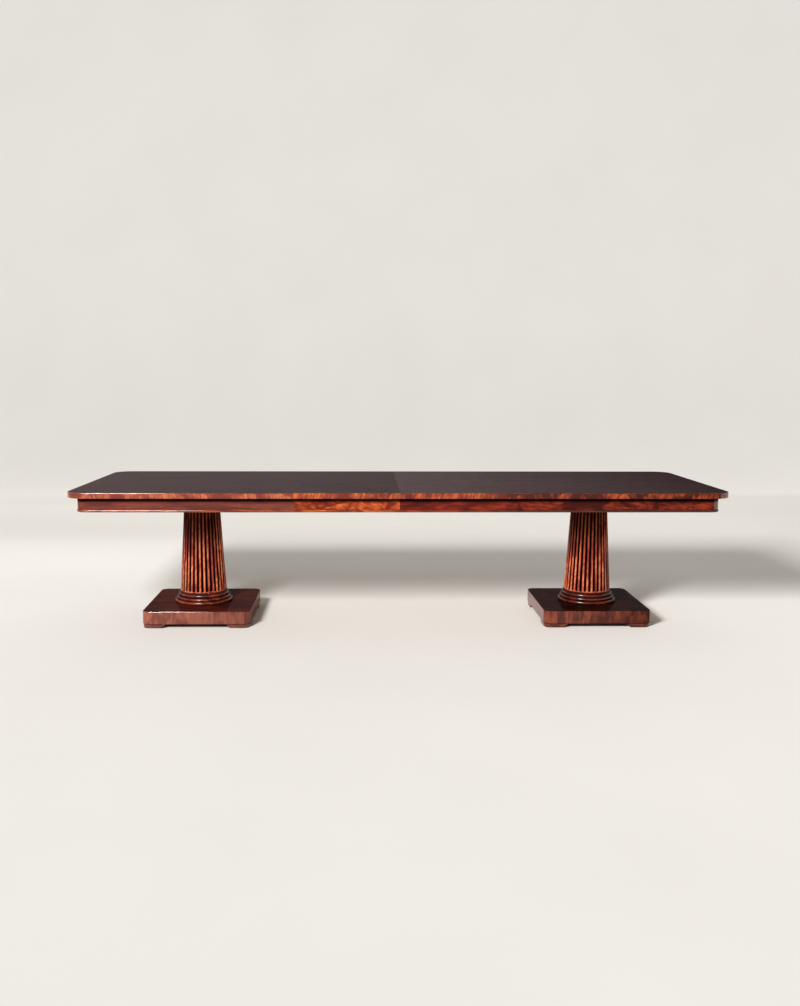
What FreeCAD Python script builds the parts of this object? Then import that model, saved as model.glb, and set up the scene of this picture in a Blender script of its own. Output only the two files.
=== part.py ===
import FreeCAD, Part
import math
import os

# Double pedestal extension dining table, millimetres, +X along the length, +Z up, floor at z = 0.

# Top and leaves
table_height = 762.0
table_width = 1118.0
half_length = 1143.0
leaf_length = 533.0
seam_gap = 0.5
top_thickness = 29.0
corner_radius = 95.0
top_arris_radius = 3.0

# Apron and bead
apron_setback = 47.0
apron_thickness = 20.0
apron_board_depth = 61.0
bead_depth = 14.0
bead_projection = 4.0
bead_nose_radius = 6.5

# Pegs that stand the leaves on the centre rails
peg_diameter = 10.0
peg_embed = 12.0
peg_reach = 12.0
peg_tip_bevel = 1.5
socket_clearance = 0.2
socket_extra_depth = 2.0

# Battens of the halves and cleats of the leaves
batten_depth = 15.0
batten_width = 60.0
batten_side_clearance = 22.0
batten_edge_margin = 60.0
batten_relief = 2.0
cleat_edge_margin = 86.5

# Extension rails
rail_apron_gap = 100.5
rail_height = 48.0
rail_width = 26.0
rail_grip = 900.0
rail_tail = 30.0
rail_reach = 100.0
centre_rail_width = 30.0
centre_rail_half_length = 500.0
centre_rail_rise = 0.5
lane_clearance = 0.5
tongue_height = 14.0
tongue_depth = 8.0
tongue_lift = 5.0
tongue_clearance = 0.3
slide_travel = 60.0
stop_length = 10.0
stop_margin = 1.0

# Racks and pinions
gear_module = 3.0
pinion_teeth = 12
pressure_angle = 25.0
gear_backlash = 0.35
pinion_addendum_share = 0.87
rack_addendum_share = 0.83
gear_dedendum_share = 1.13
flank_steps = 5
rack_height = 12.0
rack_back = 4.6
rack_lift = 30.0
rack_spare_teeth = 2
pinion_height = 10.0
pinion_pocket_clearance = 0.5
pinion_tip_clearance = 1.5
axle_diameter = 8.0
axle_running_clearance = 0.05
axle_length = 38.0

# Pedestals
pedestal_offset = 545.0
plinth_side = 578.0
plinth_corner_radius = 40.0
plinth_depth = 72.0
plinth_top_arris = 4.0
plinth_lower_arris = 6.0
plinth_wall = 32.0
plinth_board = 30.0
plinth_rib = 114.0
nut_well_radius = 30.0
foot_height = 18.0
foot_length = 122.0
foot_thickness = 45.0
foot_setback = 3.0
foot_scoop_radius = 13.0
glide_radius = 20.0
glide_thickness = 2.0
glide_inset = 26.0
glide_stem_diameter = 5.0
glide_stem_length = 12.0
ring_seat_radius = 150.0
torus_bulge = 9.0
torus_height = 19.0
reed_seat_radius = 140.0
reed_bulge = 7.0
reed_height = 16.0
fillet_radius_at = 131.0
fillet_height = 2.0
astragal_bulge = 8.0
astragal_height = 17.0
ring_top_radius = 130.0
ring_cap_height = 10.0
column_foot_radius = 127.0
column_neck_radius = 94.0
collar_radius = 98.0
collar_height = 15.0
flute_count = 32
flute_land_share = 0.3
flute_depth_share = 0.045
platform_depth = 28.0
platform_length = 300.0
platform_rail_gap = 48.5

# Tie rods and fasteners
rod_diameter = 16.0
rod_bore_clearance = 2.0
rod_end = 1.0
rod_tail = 3.0
washer_radius = 19.0
washer_thickness = 3.0
washer_clearance = 0.25
nut_flats = 24.0
nut_height = 10.0
nut_recess_radius = 21.0
nut_recess_depth = 16.0
screw_diameter = 5.0
screw_length = 42.0
screw_head_radius = 4.5
screw_head_height = 3.0
screw_clearance = 0.25
screw_bore_radius = 5.0
screw_bore_depth = 20.0
screw_edge = 8.0
platform_screw_edge = 30.0

# One overrun for all cuts, one tolerance for finding edges
overrun = 5.0
tolerance = 0.01

# Positions that follow from the sizes
panel_bottom = table_height - top_thickness
apron_bottom = panel_bottom - apron_board_depth
bead_bottom = apron_bottom - bead_depth
rail_top = panel_bottom - batten_depth
rail_bottom = rail_top - rail_height
centre_rail_top = rail_top + centre_rail_rise
platform_bottom = panel_bottom - platform_depth
half_inner = seam_gap / 2 + leaf_length + seam_gap
half_outer = half_inner + half_length
half_width = table_width / 2
apron_inner_y = half_width - apron_setback - apron_thickness
pedestal_x = half_inner + pedestal_offset
plinth_bottom = glide_thickness + foot_height
plinth_top = plinth_bottom + plinth_depth
reed_top = plinth_top + torus_height + reed_height
ring_top = reed_top + fillet_height + astragal_height + ring_cap_height
pitch_radius = gear_module * pinion_teeth / 2
tooth_pitch = math.pi * gear_module
rack_bottom = rail_bottom + rack_lift
pinion_bottom = rack_bottom + (rack_height - pinion_height) / 2
rail_face = centre_rail_width / 2 + lane_clearance
rail_lane = apron_inner_y - rail_apron_gap - rail_width - rail_face
platform_width = (rail_lane - rail_face - rail_width - platform_rail_gap) * 2
rack_tip = pitch_radius - gear_module * rack_addendum_share
rack_root = pitch_radius + gear_module * gear_dedendum_share
rack_rear = rack_root + rack_back
tongue_bottom = rail_bottom + tongue_lift
tongue_reach = rail_reach - stop_length - slide_travel - stop_margin
batten_half_width = apron_inner_y - batten_side_clearance
batten_inner_offset = batten_edge_margin + batten_width / 2
batten_outer_offset = rail_grip - rail_tail - batten_width / 2
cleat_offset = leaf_length / 2 - cleat_edge_margin - batten_width / 2

X_AXIS = FreeCAD.Vector(1, 0, 0)
Y_AXIS = FreeCAD.Vector(0, 1, 0)
Z_AXIS = FreeCAD.Vector(0, 0, 1)
ORIGIN = FreeCAD.Vector(0, 0, 0)

FRONT = -1
BACK = 1
LEFT = -1
RIGHT = 1


def point(x, y, z=0):
    return FreeCAD.Vector(x, y, z)


def block(x_pair, y_pair, z_pair):
    # A box between two values on each axis, given in either order.
    low = point(min(x_pair), min(y_pair), min(z_pair))
    high = point(max(x_pair), max(y_pair), max(z_pair))
    size = high - low
    return Part.makeBox(size.x, size.y, size.z, low)


def cylinder(radius, start, direction, length):
    return Part.makeCylinder(radius, length, start, direction)


def mirrored(shape, side):
    # The shape as drawn for the right side, or its mirror image for the left side.
    if side == RIGHT:
        return shape
    return shape.mirror(ORIGIN, X_AXIS)


def arc(start, middle, end):
    return Part.Arc(start, middle, end).toShape()


def line(start, end):
    return Part.makeLine(start, end)


def extruded(edges, height):
    face = Part.Face(Part.Wire(edges))
    return face.extrude(Z_AXIS * height)


def revolved(edges):
    face = Part.Face(Part.Wire(edges))
    return face.revolve(ORIGIN, Z_AXIS, 360)


def at_height(edge, height):
    box = edge.BoundBox
    return abs(box.ZMin - height) < tolerance and abs(box.ZMax - height) < tolerance


def half_outline(inset, inner_x, z):
    # Plan of the right half, square at the seam and rounded at the two outer corners.
    outer_x = half_outer - inset
    side_y = half_width - inset
    radius = corner_radius - inset
    centre_x = half_outer - corner_radius
    centre_y = half_width - corner_radius
    slant = radius * math.sqrt(0.5)
    a = point(inner_x, -side_y, z)
    b = point(centre_x, -side_y, z)
    c = point(outer_x, -centre_y, z)
    d = point(outer_x, centre_y, z)
    e = point(centre_x, side_y, z)
    f = point(inner_x, side_y, z)
    front_middle = point(centre_x + slant, -centre_y - slant, z)
    back_middle = point(centre_x + slant, centre_y + slant, z)
    return [line(a, b), arc(b, front_middle, c), line(c, d), arc(d, back_middle, e), line(e, f), line(f, a)]


def half_slab(inset, bottom, top, radius):
    # A slab of the right half with its outer arrises rounded and the seam left square.
    slab = extruded(half_outline(inset, half_inner, bottom), top - bottom)
    chosen = []
    for edge in slab.Edges:
        on_seam = edge.BoundBox.XMax < half_inner + tolerance
        if (at_height(edge, bottom) or at_height(edge, top)) and not on_seam:
            chosen.append(edge)
    return slab.makeFillet(radius, chosen)


def leaf_slab(x_pair, y_pair, z_pair, radius, nose_values):
    # A straight slab whose long arrises at the given y values are rounded.
    slab = block(x_pair, y_pair, z_pair)
    chosen = []
    for edge in slab.Edges:
        box = edge.BoundBox
        along_x = box.XLength > tolerance
        at_nose = min(abs(box.Center.y - value) for value in nose_values) < tolerance
        if along_x and at_nose:
            chosen.append(edge)
    return slab.makeFillet(radius, chosen)


def leaf_ends(number):
    # The two x values of a leaf, the first leaf left of the middle and the second right of it.
    start = seam_gap / 2
    if number == 1:
        return -start - leaf_length, -start
    return start, start + leaf_length


def cleat_centres(number):
    middle = sum(leaf_ends(number)) / 2
    return [middle - cleat_offset, middle + cleat_offset]


def peg_places(number):
    return [(x, row * rail_lane) for x in cleat_centres(number) for row in (FRONT, BACK)]


def screw(x, y, head_z):
    # A pan head screw standing upright with the underside of its head at head_z.
    shank = cylinder(screw_diameter / 2, point(x, y, head_z), Z_AXIS, screw_length)
    head = cylinder(screw_head_radius, point(x, y, head_z - screw_head_height), Z_AXIS, screw_head_height)
    return head.fuse(shank)


def screw_pilot(x, y, head_z):
    return cylinder(screw_diameter / 2, point(x, y, head_z), Z_AXIS, screw_length)


def screw_passage(x, y, bottom, top):
    radius = screw_diameter / 2 + screw_clearance
    return cylinder(radius, point(x, y, bottom - overrun), Z_AXIS, top - bottom + overrun * 2)


def lane_direction(side):
    # The left rails run outside the centre rails and the right rails run inside them.
    return 1 if side == LEFT else -1


def rail_span(side):
    # The near and far distance of a half rail from the table's long axis.
    heading = lane_direction(side)
    near = rail_lane + heading * rail_face
    return near, near + heading * rail_width


def batten_centres():
    return [half_inner + batten_inner_offset, half_inner + batten_outer_offset]


def rail_screw_places(side):
    # Two screws for each rail, one under each batten, drawn for the right side.
    heading = lane_direction(side)
    y = rail_span(side)[1] - heading * screw_edge
    return [(x, y * row) for x in batten_centres() for row in (FRONT, BACK)]


def platform_screw_places():
    along = platform_length / 2 - platform_screw_edge
    across = platform_width / 2 - platform_screw_edge
    return [(pedestal_x + i * along, j * across) for i in (-1, 1) for j in (-1, 0, 1)]


rail_screw_seat = rail_bottom + screw_bore_depth


def make_top_panel(side):
    panel = half_slab(0, panel_bottom, table_height, top_arris_radius)
    for x, y in platform_screw_places():
        panel = panel.cut(screw_pilot(x, y, platform_bottom))
    return mirrored(panel, side)


def make_apron_side(side, row):
    face_y = half_width - apron_setback
    board = block(
        (half_inner, half_outer - corner_radius),
        (row * face_y, row * (face_y - apron_thickness)),
        (apron_bottom, panel_bottom),
    )
    return mirrored(board, side)


def make_apron_end(side):
    face_x = half_outer - apron_setback
    end_y = half_width - corner_radius
    board = block((face_x - apron_thickness, face_x), (-end_y, end_y), (apron_bottom, panel_bottom))
    return mirrored(board, side)


def make_apron_corners(side):
    outer = corner_radius - apron_setback
    inner = outer - apron_thickness
    slant = math.sqrt(0.5)
    centre = point(half_outer - corner_radius, half_width - corner_radius, apron_bottom)
    edges = [
        arc(
            centre + X_AXIS * outer,
            centre + (X_AXIS + Y_AXIS) * (outer * slant),
            centre + Y_AXIS * outer,
        ),
        line(centre + Y_AXIS * outer, centre + Y_AXIS * inner),
        arc(
            centre + Y_AXIS * inner,
            centre + (X_AXIS + Y_AXIS) * (inner * slant),
            centre + X_AXIS * inner,
        ),
        line(centre + X_AXIS * inner, centre + X_AXIS * outer),
    ]
    back = extruded(edges, apron_board_depth)
    front = back.mirror(ORIGIN, Y_AXIS)
    return mirrored(Part.makeCompound([front, back]), side)


def make_apron_bead(side):
    outer = half_slab(apron_setback - bead_projection, bead_bottom, apron_bottom, bead_nose_radius)
    inset = apron_setback + apron_thickness
    outline = half_outline(inset, half_inner - overrun, bead_bottom - overrun)
    inner = extruded(outline, bead_depth + overrun * 2)
    return mirrored(outer.cut(inner), side)


def make_cross_battens(side):
    own_near = rail_span(side)[0]
    other_far = rail_span(-side)[1]
    slack = lane_clearance / 2
    heading = lane_direction(side)
    battens = []
    for x in batten_centres():
        x_pair = (x - batten_width / 2, x + batten_width / 2)
        batten = block(x_pair, (-batten_half_width, batten_half_width), (rail_top, panel_bottom))
        for row in (FRONT, BACK):
            relief = block(
                (x - batten_width, x + batten_width),
                (row * (own_near - heading * slack), row * (other_far - heading * batten_relief)),
                (rail_top - overrun, rail_top + batten_relief),
            )
            batten = batten.cut(relief)
        for screw_x, screw_y in rail_screw_places(side):
            batten = batten.cut(screw_pilot(screw_x, screw_y, rail_screw_seat))
        battens.append(batten)
    return mirrored(Part.makeCompound(battens), side)


def make_platform(side):
    half_x = platform_length / 2
    half_y = platform_width / 2
    x_pair = (pedestal_x - half_x, pedestal_x + half_x)
    board = block(x_pair, (-half_y, half_y), (platform_bottom, panel_bottom))
    bore = rod_diameter / 2 + rod_bore_clearance
    bore_start = point(pedestal_x, 0, platform_bottom - overrun)
    board = board.cut(cylinder(bore, bore_start, Z_AXIS, platform_depth))
    recess_start = point(pedestal_x, 0, panel_bottom - nut_recess_depth)
    board = board.cut(cylinder(nut_recess_radius, recess_start, Z_AXIS, nut_recess_depth + overrun))
    for x, y in platform_screw_places():
        board = board.cut(screw_passage(x, y, platform_bottom, panel_bottom))
    return mirrored(board, side)


def make_rail(side, row):
    heading = lane_direction(side)
    near, far = rail_span(side)
    inner_end = -rail_reach
    outer_end = half_inner + rail_grip
    rail = block((inner_end, outer_end), (row * near, row * far), (rail_bottom, rail_top))
    groove_depth = tongue_depth + tongue_clearance
    groove = block(
        (inner_end - overrun, outer_end + overrun),
        (row * (near - heading * overrun), row * (near + heading * groove_depth)),
        (tongue_bottom - tongue_clearance, tongue_bottom + tongue_height + tongue_clearance),
    )
    recess = block(
        rack_ends(),
        (row * (near - heading * overrun), row * (rail_lane + heading * rack_rear)),
        (rack_bottom, rack_bottom + rack_height),
    )
    rail = rail.cut(groove).cut(recess)
    for x, y in rail_screw_places(side):
        if y * row > 0:
            rail = rail.cut(screw_passage(x, y, rail_bottom, rail_top))
            start = point(x, y, rail_bottom - overrun)
            rail = rail.cut(cylinder(screw_bore_radius, start, Z_AXIS, screw_bore_depth + overrun))
    return mirrored(rail, side)


def make_slide_stops(side):
    heading = lane_direction(side)
    near = rail_span(side)[0]
    stops = []
    for row in (FRONT, BACK):
        stops.append(
            block(
                (-rail_reach, stop_length - rail_reach),
                (row * near, row * (near + heading * (tongue_depth + tongue_clearance))),
                (tongue_bottom - tongue_clearance, tongue_bottom + tongue_height + tongue_clearance),
            )
        )
    return mirrored(Part.makeCompound(stops), side)


def rack_teeth():
    # Numbers of the first and last tooth space, so that the rack still meshes with the table closed.
    first = -math.ceil(slide_travel / tooth_pitch) - rack_spare_teeth
    last = math.ceil(half_inner / tooth_pitch) + rack_spare_teeth
    return first, last


def rack_ends():
    first, last = rack_teeth()
    return first * tooth_pitch, last * tooth_pitch


def rack_outline():
    # Rack profile in x and in distance from the pinion's axis, teeth towards the axis.
    first, last = rack_teeth()
    slope = math.tan(math.radians(pressure_angle))
    half_at_pitch = tooth_pitch / 4 - gear_backlash / 2
    half_at_tip = half_at_pitch - (pitch_radius - rack_tip) * slope
    half_at_root = half_at_pitch + (rack_root - pitch_radius) * slope
    start, end = rack_ends()
    outline = [(start, rack_rear), (start, rack_root)]
    for number in range(first, last):
        middle = (number + 0.5) * tooth_pitch
        outline.append((middle - half_at_root, rack_root))
        outline.append((middle - half_at_tip, rack_tip))
        outline.append((middle + half_at_tip, rack_tip))
        outline.append((middle + half_at_root, rack_root))
    outline += [(end, rack_root), (end, rack_rear)]
    return outline


def make_racks(side):
    heading = lane_direction(side)
    racks = []
    for row in (FRONT, BACK):
        corners = []
        for x, reach in rack_outline():
            corners.append(point(x, row * (rail_lane + heading * reach), rack_bottom))
        edges = [line(p, q) for p, q in zip(corners, corners[1:] + corners[:1])]
        racks.append(extruded(edges, rack_height))
    return mirrored(Part.makeCompound(racks), side)


def make_centre_rail(row):
    half = centre_rail_half_length
    side_y = centre_rail_width / 2
    rail = block(
        (-half, half),
        (row * (rail_lane - side_y), row * (rail_lane + side_y)),
        (rail_bottom, centre_rail_top),
    )
    tongue_z = (tongue_bottom, tongue_bottom + tongue_height)
    tip_y = rail_face + tongue_depth
    outer = block((-half, tongue_reach), (row * rail_lane, row * (rail_lane + tip_y)), tongue_z)
    inner = block((-tongue_reach, half), (row * rail_lane, row * (rail_lane - tip_y)), tongue_z)
    rail = rail.fuse(outer).fuse(inner).removeSplitter()
    pocket_x = pitch_radius + gear_module * pinion_addendum_share + pinion_tip_clearance
    pocket = block(
        (-pocket_x, pocket_x),
        (row * (rail_lane - centre_rail_width), row * (rail_lane + centre_rail_width)),
        (pinion_bottom - pinion_pocket_clearance, pinion_bottom + pinion_height + pinion_pocket_clearance),
    )
    axle_start = point(0, row * rail_lane, rail_top - axle_length)
    axle_hole = cylinder(axle_diameter / 2, axle_start, Z_AXIS, axle_length + overrun)
    rail = rail.cut(pocket).cut(axle_hole)
    depth = peg_reach + socket_extra_depth
    socket_radius = peg_diameter / 2 + socket_clearance
    for number in (1, 2):
        for x, y in peg_places(number):
            if y * row > 0:
                start = point(x, y, centre_rail_top - depth)
                rail = rail.cut(cylinder(socket_radius, start, Z_AXIS, depth + overrun))
    return rail


def make_axles():
    axles = []
    for row in (FRONT, BACK):
        start = point(0, row * rail_lane, rail_top - axle_length)
        axles.append(cylinder(axle_diameter / 2, start, Z_AXIS, axle_length))
    return Part.makeCompound(axles)


def involute(angle):
    return math.tan(angle) - angle


def pinion_flank():
    # Radii and half angles of one tooth flank, from the root to the tip.
    base = pitch_radius * math.cos(math.radians(pressure_angle))
    tip = pitch_radius + gear_module * pinion_addendum_share
    root = pitch_radius - gear_module * gear_dedendum_share
    half_at_pitch = (tooth_pitch / 4 - gear_backlash / 2) / pitch_radius
    half_at_base = half_at_pitch + involute(math.radians(pressure_angle))
    flank = [(root, half_at_base)]
    for step in range(flank_steps + 1):
        radius = base + (tip - base) * step / flank_steps
        flank.append((radius, half_at_base - involute(math.acos(base / radius))))
    return flank


def make_pinion(row):
    flank = pinion_flank()
    corners = []
    for tooth in range(pinion_teeth):
        middle = math.pi / 2 + 2 * math.pi * tooth / pinion_teeth
        rising = [(radius, middle - half) for radius, half in flank]
        falling = [(radius, middle + half) for radius, half in reversed(flank)]
        for radius, angle in rising + falling:
            corners.append(
                point(radius * math.cos(angle), row * rail_lane + radius * math.sin(angle), pinion_bottom)
            )
    edges = [line(p, q) for p, q in zip(corners, corners[1:] + corners[:1])]
    gear = extruded(edges, pinion_height)
    bore = axle_diameter / 2 + axle_running_clearance
    start = point(0, row * rail_lane, pinion_bottom - overrun)
    return gear.cut(cylinder(bore, start, Z_AXIS, pinion_height + overrun * 2))


def fluted_wire(radius, z):
    # A circle with concave flutes and narrow lands between them.
    turn = 2 * math.pi / flute_count
    half_land = turn * flute_land_share / 2
    floor = radius * (1 - flute_depth_share)

    def on_circle(distance, angle):
        return point(pedestal_x + distance * math.cos(angle), distance * math.sin(angle), z)

    edges = []
    for number in range(flute_count):
        middle = turn * number
        land_end = on_circle(radius, middle + half_land)
        edges.append(arc(on_circle(radius, middle - half_land), on_circle(radius, middle), land_end))
        flute_end = on_circle(radius, middle + turn - half_land)
        edges.append(arc(land_end, on_circle(floor, middle + turn / 2), flute_end))
    return Part.Wire(edges)


def make_column(side):
    collar_bottom = platform_bottom - collar_height
    foot_wire = fluted_wire(column_foot_radius, ring_top)
    neck_wire = fluted_wire(column_neck_radius, collar_bottom)
    shaft = Part.makeLoft([foot_wire, neck_wire], True, True)
    collar = cylinder(collar_radius, point(pedestal_x, 0, collar_bottom), Z_AXIS, collar_height)
    bore = rod_diameter / 2 + rod_bore_clearance
    length = platform_bottom - ring_top + overrun * 2
    hole = cylinder(bore, point(pedestal_x, 0, ring_top - overrun), Z_AXIS, length)
    return mirrored(shaft.fuse(collar).cut(hole), side)


def make_base_ring(side):
    bore = rod_diameter / 2 + rod_bore_clearance
    torus_top = plinth_top + torus_height
    fillet_top = reed_top + fillet_height
    astragal_top = fillet_top + astragal_height
    astragal_foot = ring_top_radius
    seat = point(ring_seat_radius, 0, plinth_top)
    torus_end = point(ring_seat_radius, 0, torus_top)
    torus_middle = point(ring_seat_radius + torus_bulge, 0, plinth_top + torus_height / 2)
    reed_start = point(reed_seat_radius, 0, torus_top)
    reed_middle = point(reed_seat_radius + reed_bulge, 0, torus_top + reed_height / 2)
    reed_end = point(reed_seat_radius, 0, reed_top)
    fillet_start = point(fillet_radius_at, 0, reed_top)
    fillet_end = point(fillet_radius_at, 0, fillet_top)
    astragal_start = point(astragal_foot, 0, fillet_top)
    astragal_middle = point(astragal_foot + astragal_bulge, 0, fillet_top + astragal_height / 2)
    astragal_end = point(astragal_foot, 0, astragal_top)
    cap = point(ring_top_radius, 0, ring_top)
    inner_top = point(bore, 0, ring_top)
    inner_bottom = point(bore, 0, plinth_top)
    ring = revolved([
        line(inner_bottom, seat),
        arc(seat, torus_middle, torus_end),
        line(torus_end, reed_start),
        arc(reed_start, reed_middle, reed_end),
        line(reed_end, fillet_start),
        line(fillet_start, fillet_end),
        line(fillet_end, astragal_start),
        arc(astragal_start, astragal_middle, astragal_end),
        line(astragal_end, cap),
        line(cap, inner_top),
        line(inner_top, inner_bottom),
    ])
    ring.translate(point(pedestal_x, 0))
    return mirrored(ring, side)


def rounded_square(inset, bottom, height):
    # A square block on the z axis with its four upright corners rounded.
    half = plinth_side / 2 - inset
    body = block((-half, half), (-half, half), (bottom, bottom + height))
    upright = [edge for edge in body.Edges if edge.BoundBox.ZLength > tolerance]
    return body.makeFillet(plinth_corner_radius - inset, upright)


def make_plinth(side):
    body = rounded_square(0, plinth_bottom, plinth_depth)
    for height, radius in ((plinth_top, plinth_top_arris), (plinth_bottom, plinth_lower_arris)):
        body = body.makeFillet(radius, [edge for edge in body.Edges if at_height(edge, height)])
    inside = plinth_side / 2 - plinth_wall
    rib = plinth_rib / 2
    hollow_depth = plinth_depth - plinth_board
    heights = (plinth_bottom - overrun, plinth_bottom + hollow_depth)
    for i in (-1, 1):
        for j in (-1, 1):
            body = body.cut(block((i * rib, i * inside), (j * rib, j * inside), heights))
    well_start = point(0, 0, plinth_bottom - overrun)
    well = cylinder(nut_well_radius, well_start, Z_AXIS, hollow_depth + overrun)
    bore = rod_diameter / 2 + rod_bore_clearance
    hole = cylinder(bore, point(0, 0, plinth_bottom), Z_AXIS, plinth_depth + overrun)
    body = body.cut(well).cut(hole)
    body.translate(point(pedestal_x, 0))
    return mirrored(body, side)


def glide_place():
    return plinth_side / 2 - foot_setback - glide_inset


def four_corners(shape, side):
    # Four copies of a corner piece around the pedestal's axis.
    copies = []
    for quarter in range(4):
        copy = shape.copy()
        copy.rotate(ORIGIN, Z_AXIS, quarter * 90)
        copy.translate(point(pedestal_x, 0))
        copies.append(copy)
    return mirrored(Part.makeCompound(copies), side)


def make_feet(side):
    outer = plinth_side / 2 - foot_setback
    inner = outer - foot_thickness
    end = outer - foot_length
    ring = rounded_square(foot_setback, glide_thickness, foot_height)
    heights = (glide_thickness - overrun, plinth_bottom + overrun)
    ring = ring.cut(block((-inner, inner), (-inner, inner), heights))
    foot = ring.common(block((end, outer + overrun), (end, outer + overrun), heights))
    scoop_length = foot_thickness + overrun * 2
    y_start = point(end, inner - overrun, glide_thickness)
    x_start = point(inner - overrun, end, glide_thickness)
    along_y = cylinder(foot_scoop_radius, y_start, Y_AXIS, scoop_length)
    along_x = cylinder(foot_scoop_radius, x_start, X_AXIS, scoop_length)
    start = point(glide_place(), glide_place(), glide_thickness)
    stem = cylinder(glide_stem_diameter / 2, start, Z_AXIS, glide_stem_length)
    return four_corners(foot.cut(along_y).cut(along_x).cut(stem), side)


def make_glides(side):
    place = glide_place()
    disc = cylinder(glide_radius, point(place, place, 0), Z_AXIS, glide_thickness)
    stem_start = point(place, place, glide_thickness)
    stem = cylinder(glide_stem_diameter / 2, stem_start, Z_AXIS, glide_stem_length)
    return four_corners(disc.fuse(stem), side)


# Heights along the tie rod
upper_seat = panel_bottom - nut_recess_depth
lower_seat = plinth_bottom + plinth_depth - plinth_board
rod_top = upper_seat + washer_thickness + nut_height + rod_end
rod_bottom = lower_seat - washer_thickness - nut_height - rod_tail


def make_tie_rod(side):
    rod = cylinder(rod_diameter / 2, point(pedestal_x, 0, rod_bottom), Z_AXIS, rod_top - rod_bottom)
    return mirrored(rod, side)


def make_rod_nuts(side):
    corner = nut_flats / math.sqrt(3)
    pieces = []
    for seat, heading in ((upper_seat, 1), (lower_seat, -1)):
        start = point(pedestal_x, 0, seat)
        washer = cylinder(washer_radius, start, Z_AXIS * heading, washer_thickness)
        hole = cylinder(rod_diameter / 2 + washer_clearance, start, Z_AXIS * heading, washer_thickness)
        pieces.append(washer.cut(hole))
        nut_start = start + Z_AXIS * (heading * washer_thickness)
        angles = [math.radians(60 * number) for number in range(6)]
        corners = [
            nut_start + point(corner * math.cos(angle), corner * math.sin(angle)) for angle in angles
        ]
        edges = [line(p, q) for p, q in zip(corners, corners[1:] + corners[:1])]
        nut = Part.Face(Part.Wire(edges)).extrude(Z_AXIS * (heading * nut_height))
        pieces.append(nut.cut(cylinder(rod_diameter / 2, nut_start, Z_AXIS * heading, nut_height)))
    return mirrored(Part.makeCompound(pieces), side)


def make_screws(side):
    screws = [screw(x, y, rail_screw_seat) for x, y in rail_screw_places(side)]
    screws += [screw(x, y, platform_bottom) for x, y in platform_screw_places()]
    return mirrored(Part.makeCompound(screws), side)


def make_leaf_panel(number):
    ends = leaf_ends(number)
    sides = (-half_width, half_width)
    return leaf_slab(ends, sides, (panel_bottom, table_height), top_arris_radius, sides)


def make_leaf_apron(number, row):
    face_y = half_width - apron_setback
    return block(
        leaf_ends(number),
        (row * face_y, row * (face_y - apron_thickness)),
        (apron_bottom, panel_bottom),
    )


def make_leaf_beads(number):
    nose_y = half_width - apron_setback + bead_projection
    z_pair = (bead_bottom, apron_bottom)
    beads = []
    for row in (FRONT, BACK):
        y_pair = (row * nose_y, row * apron_inner_y)
        beads.append(leaf_slab(leaf_ends(number), y_pair, z_pair, bead_nose_radius, [row * nose_y]))
    return Part.makeCompound(beads)


def make_leaf_cleats(number):
    cleats = []
    for x in cleat_centres(number):
        x_pair = (x - batten_width / 2, x + batten_width / 2)
        cleat = block(x_pair, (-batten_half_width, batten_half_width), (centre_rail_top, panel_bottom))
        for peg_x, peg_y in peg_places(number):
            start = point(peg_x, peg_y, centre_rail_top - overrun)
            cleat = cleat.cut(cylinder(peg_diameter / 2, start, Z_AXIS, peg_embed + overrun))
        cleats.append(cleat)
    return Part.makeCompound(cleats)


def make_leaf_pegs(number):
    # Bevelled pegs held in the cleats and pointing down into the centre rails.
    radius = peg_diameter / 2
    length = peg_embed + peg_reach
    profile = [
        point(0, 0, 0),
        point(radius - peg_tip_bevel, 0, 0),
        point(radius, 0, peg_tip_bevel),
        point(radius, 0, length),
        point(0, 0, length),
    ]
    peg = revolved([line(p, q) for p, q in zip(profile, profile[1:] + profile[:1])])
    pegs = []
    for x, y in peg_places(number):
        copy = peg.copy()
        copy.translate(point(x, y, centre_rail_top - peg_reach))
        pegs.append(copy)
    return Part.makeCompound(pegs)


nodes = {}

for side, name in ((LEFT, "left"), (RIGHT, "right")):
    nodes[name + "_top_panel"] = make_top_panel(side)
    nodes[name + "_apron_front"] = make_apron_side(side, FRONT)
    nodes[name + "_apron_back"] = make_apron_side(side, BACK)
    nodes[name + "_apron_end"] = make_apron_end(side)
    nodes[name + "_apron_corners"] = make_apron_corners(side)
    nodes[name + "_apron_bead"] = make_apron_bead(side)
    nodes[name + "_cross_battens"] = make_cross_battens(side)
    nodes[name + "_platform"] = make_platform(side)
    nodes[name + "_rail_front"] = make_rail(side, FRONT)
    nodes[name + "_rail_back"] = make_rail(side, BACK)
    nodes[name + "_racks"] = make_racks(side)
    nodes[name + "_slide_stops"] = make_slide_stops(side)
    nodes[name + "_column"] = make_column(side)
    nodes[name + "_base_ring"] = make_base_ring(side)
    nodes[name + "_plinth"] = make_plinth(side)
    nodes[name + "_feet"] = make_feet(side)
    nodes[name + "_glides"] = make_glides(side)
    nodes[name + "_tie_rod"] = make_tie_rod(side)
    nodes[name + "_rod_nuts"] = make_rod_nuts(side)
    nodes[name + "_screws"] = make_screws(side)

for number in (1, 2):
    name = "leaf_" + str(number)
    nodes[name + "_panel"] = make_leaf_panel(number)
    nodes[name + "_apron_front"] = make_leaf_apron(number, FRONT)
    nodes[name + "_apron_back"] = make_leaf_apron(number, BACK)
    nodes[name + "_beads"] = make_leaf_beads(number)
    nodes[name + "_cleats"] = make_leaf_cleats(number)
    nodes[name + "_pegs"] = make_leaf_pegs(number)

nodes["centre_rail_front"] = make_centre_rail(FRONT)
nodes["centre_rail_back"] = make_centre_rail(BACK)
nodes["pinion_front"] = make_pinion(FRONT)
nodes["pinion_back"] = make_pinion(BACK)
nodes["pinion_axles"] = make_axles()

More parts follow.
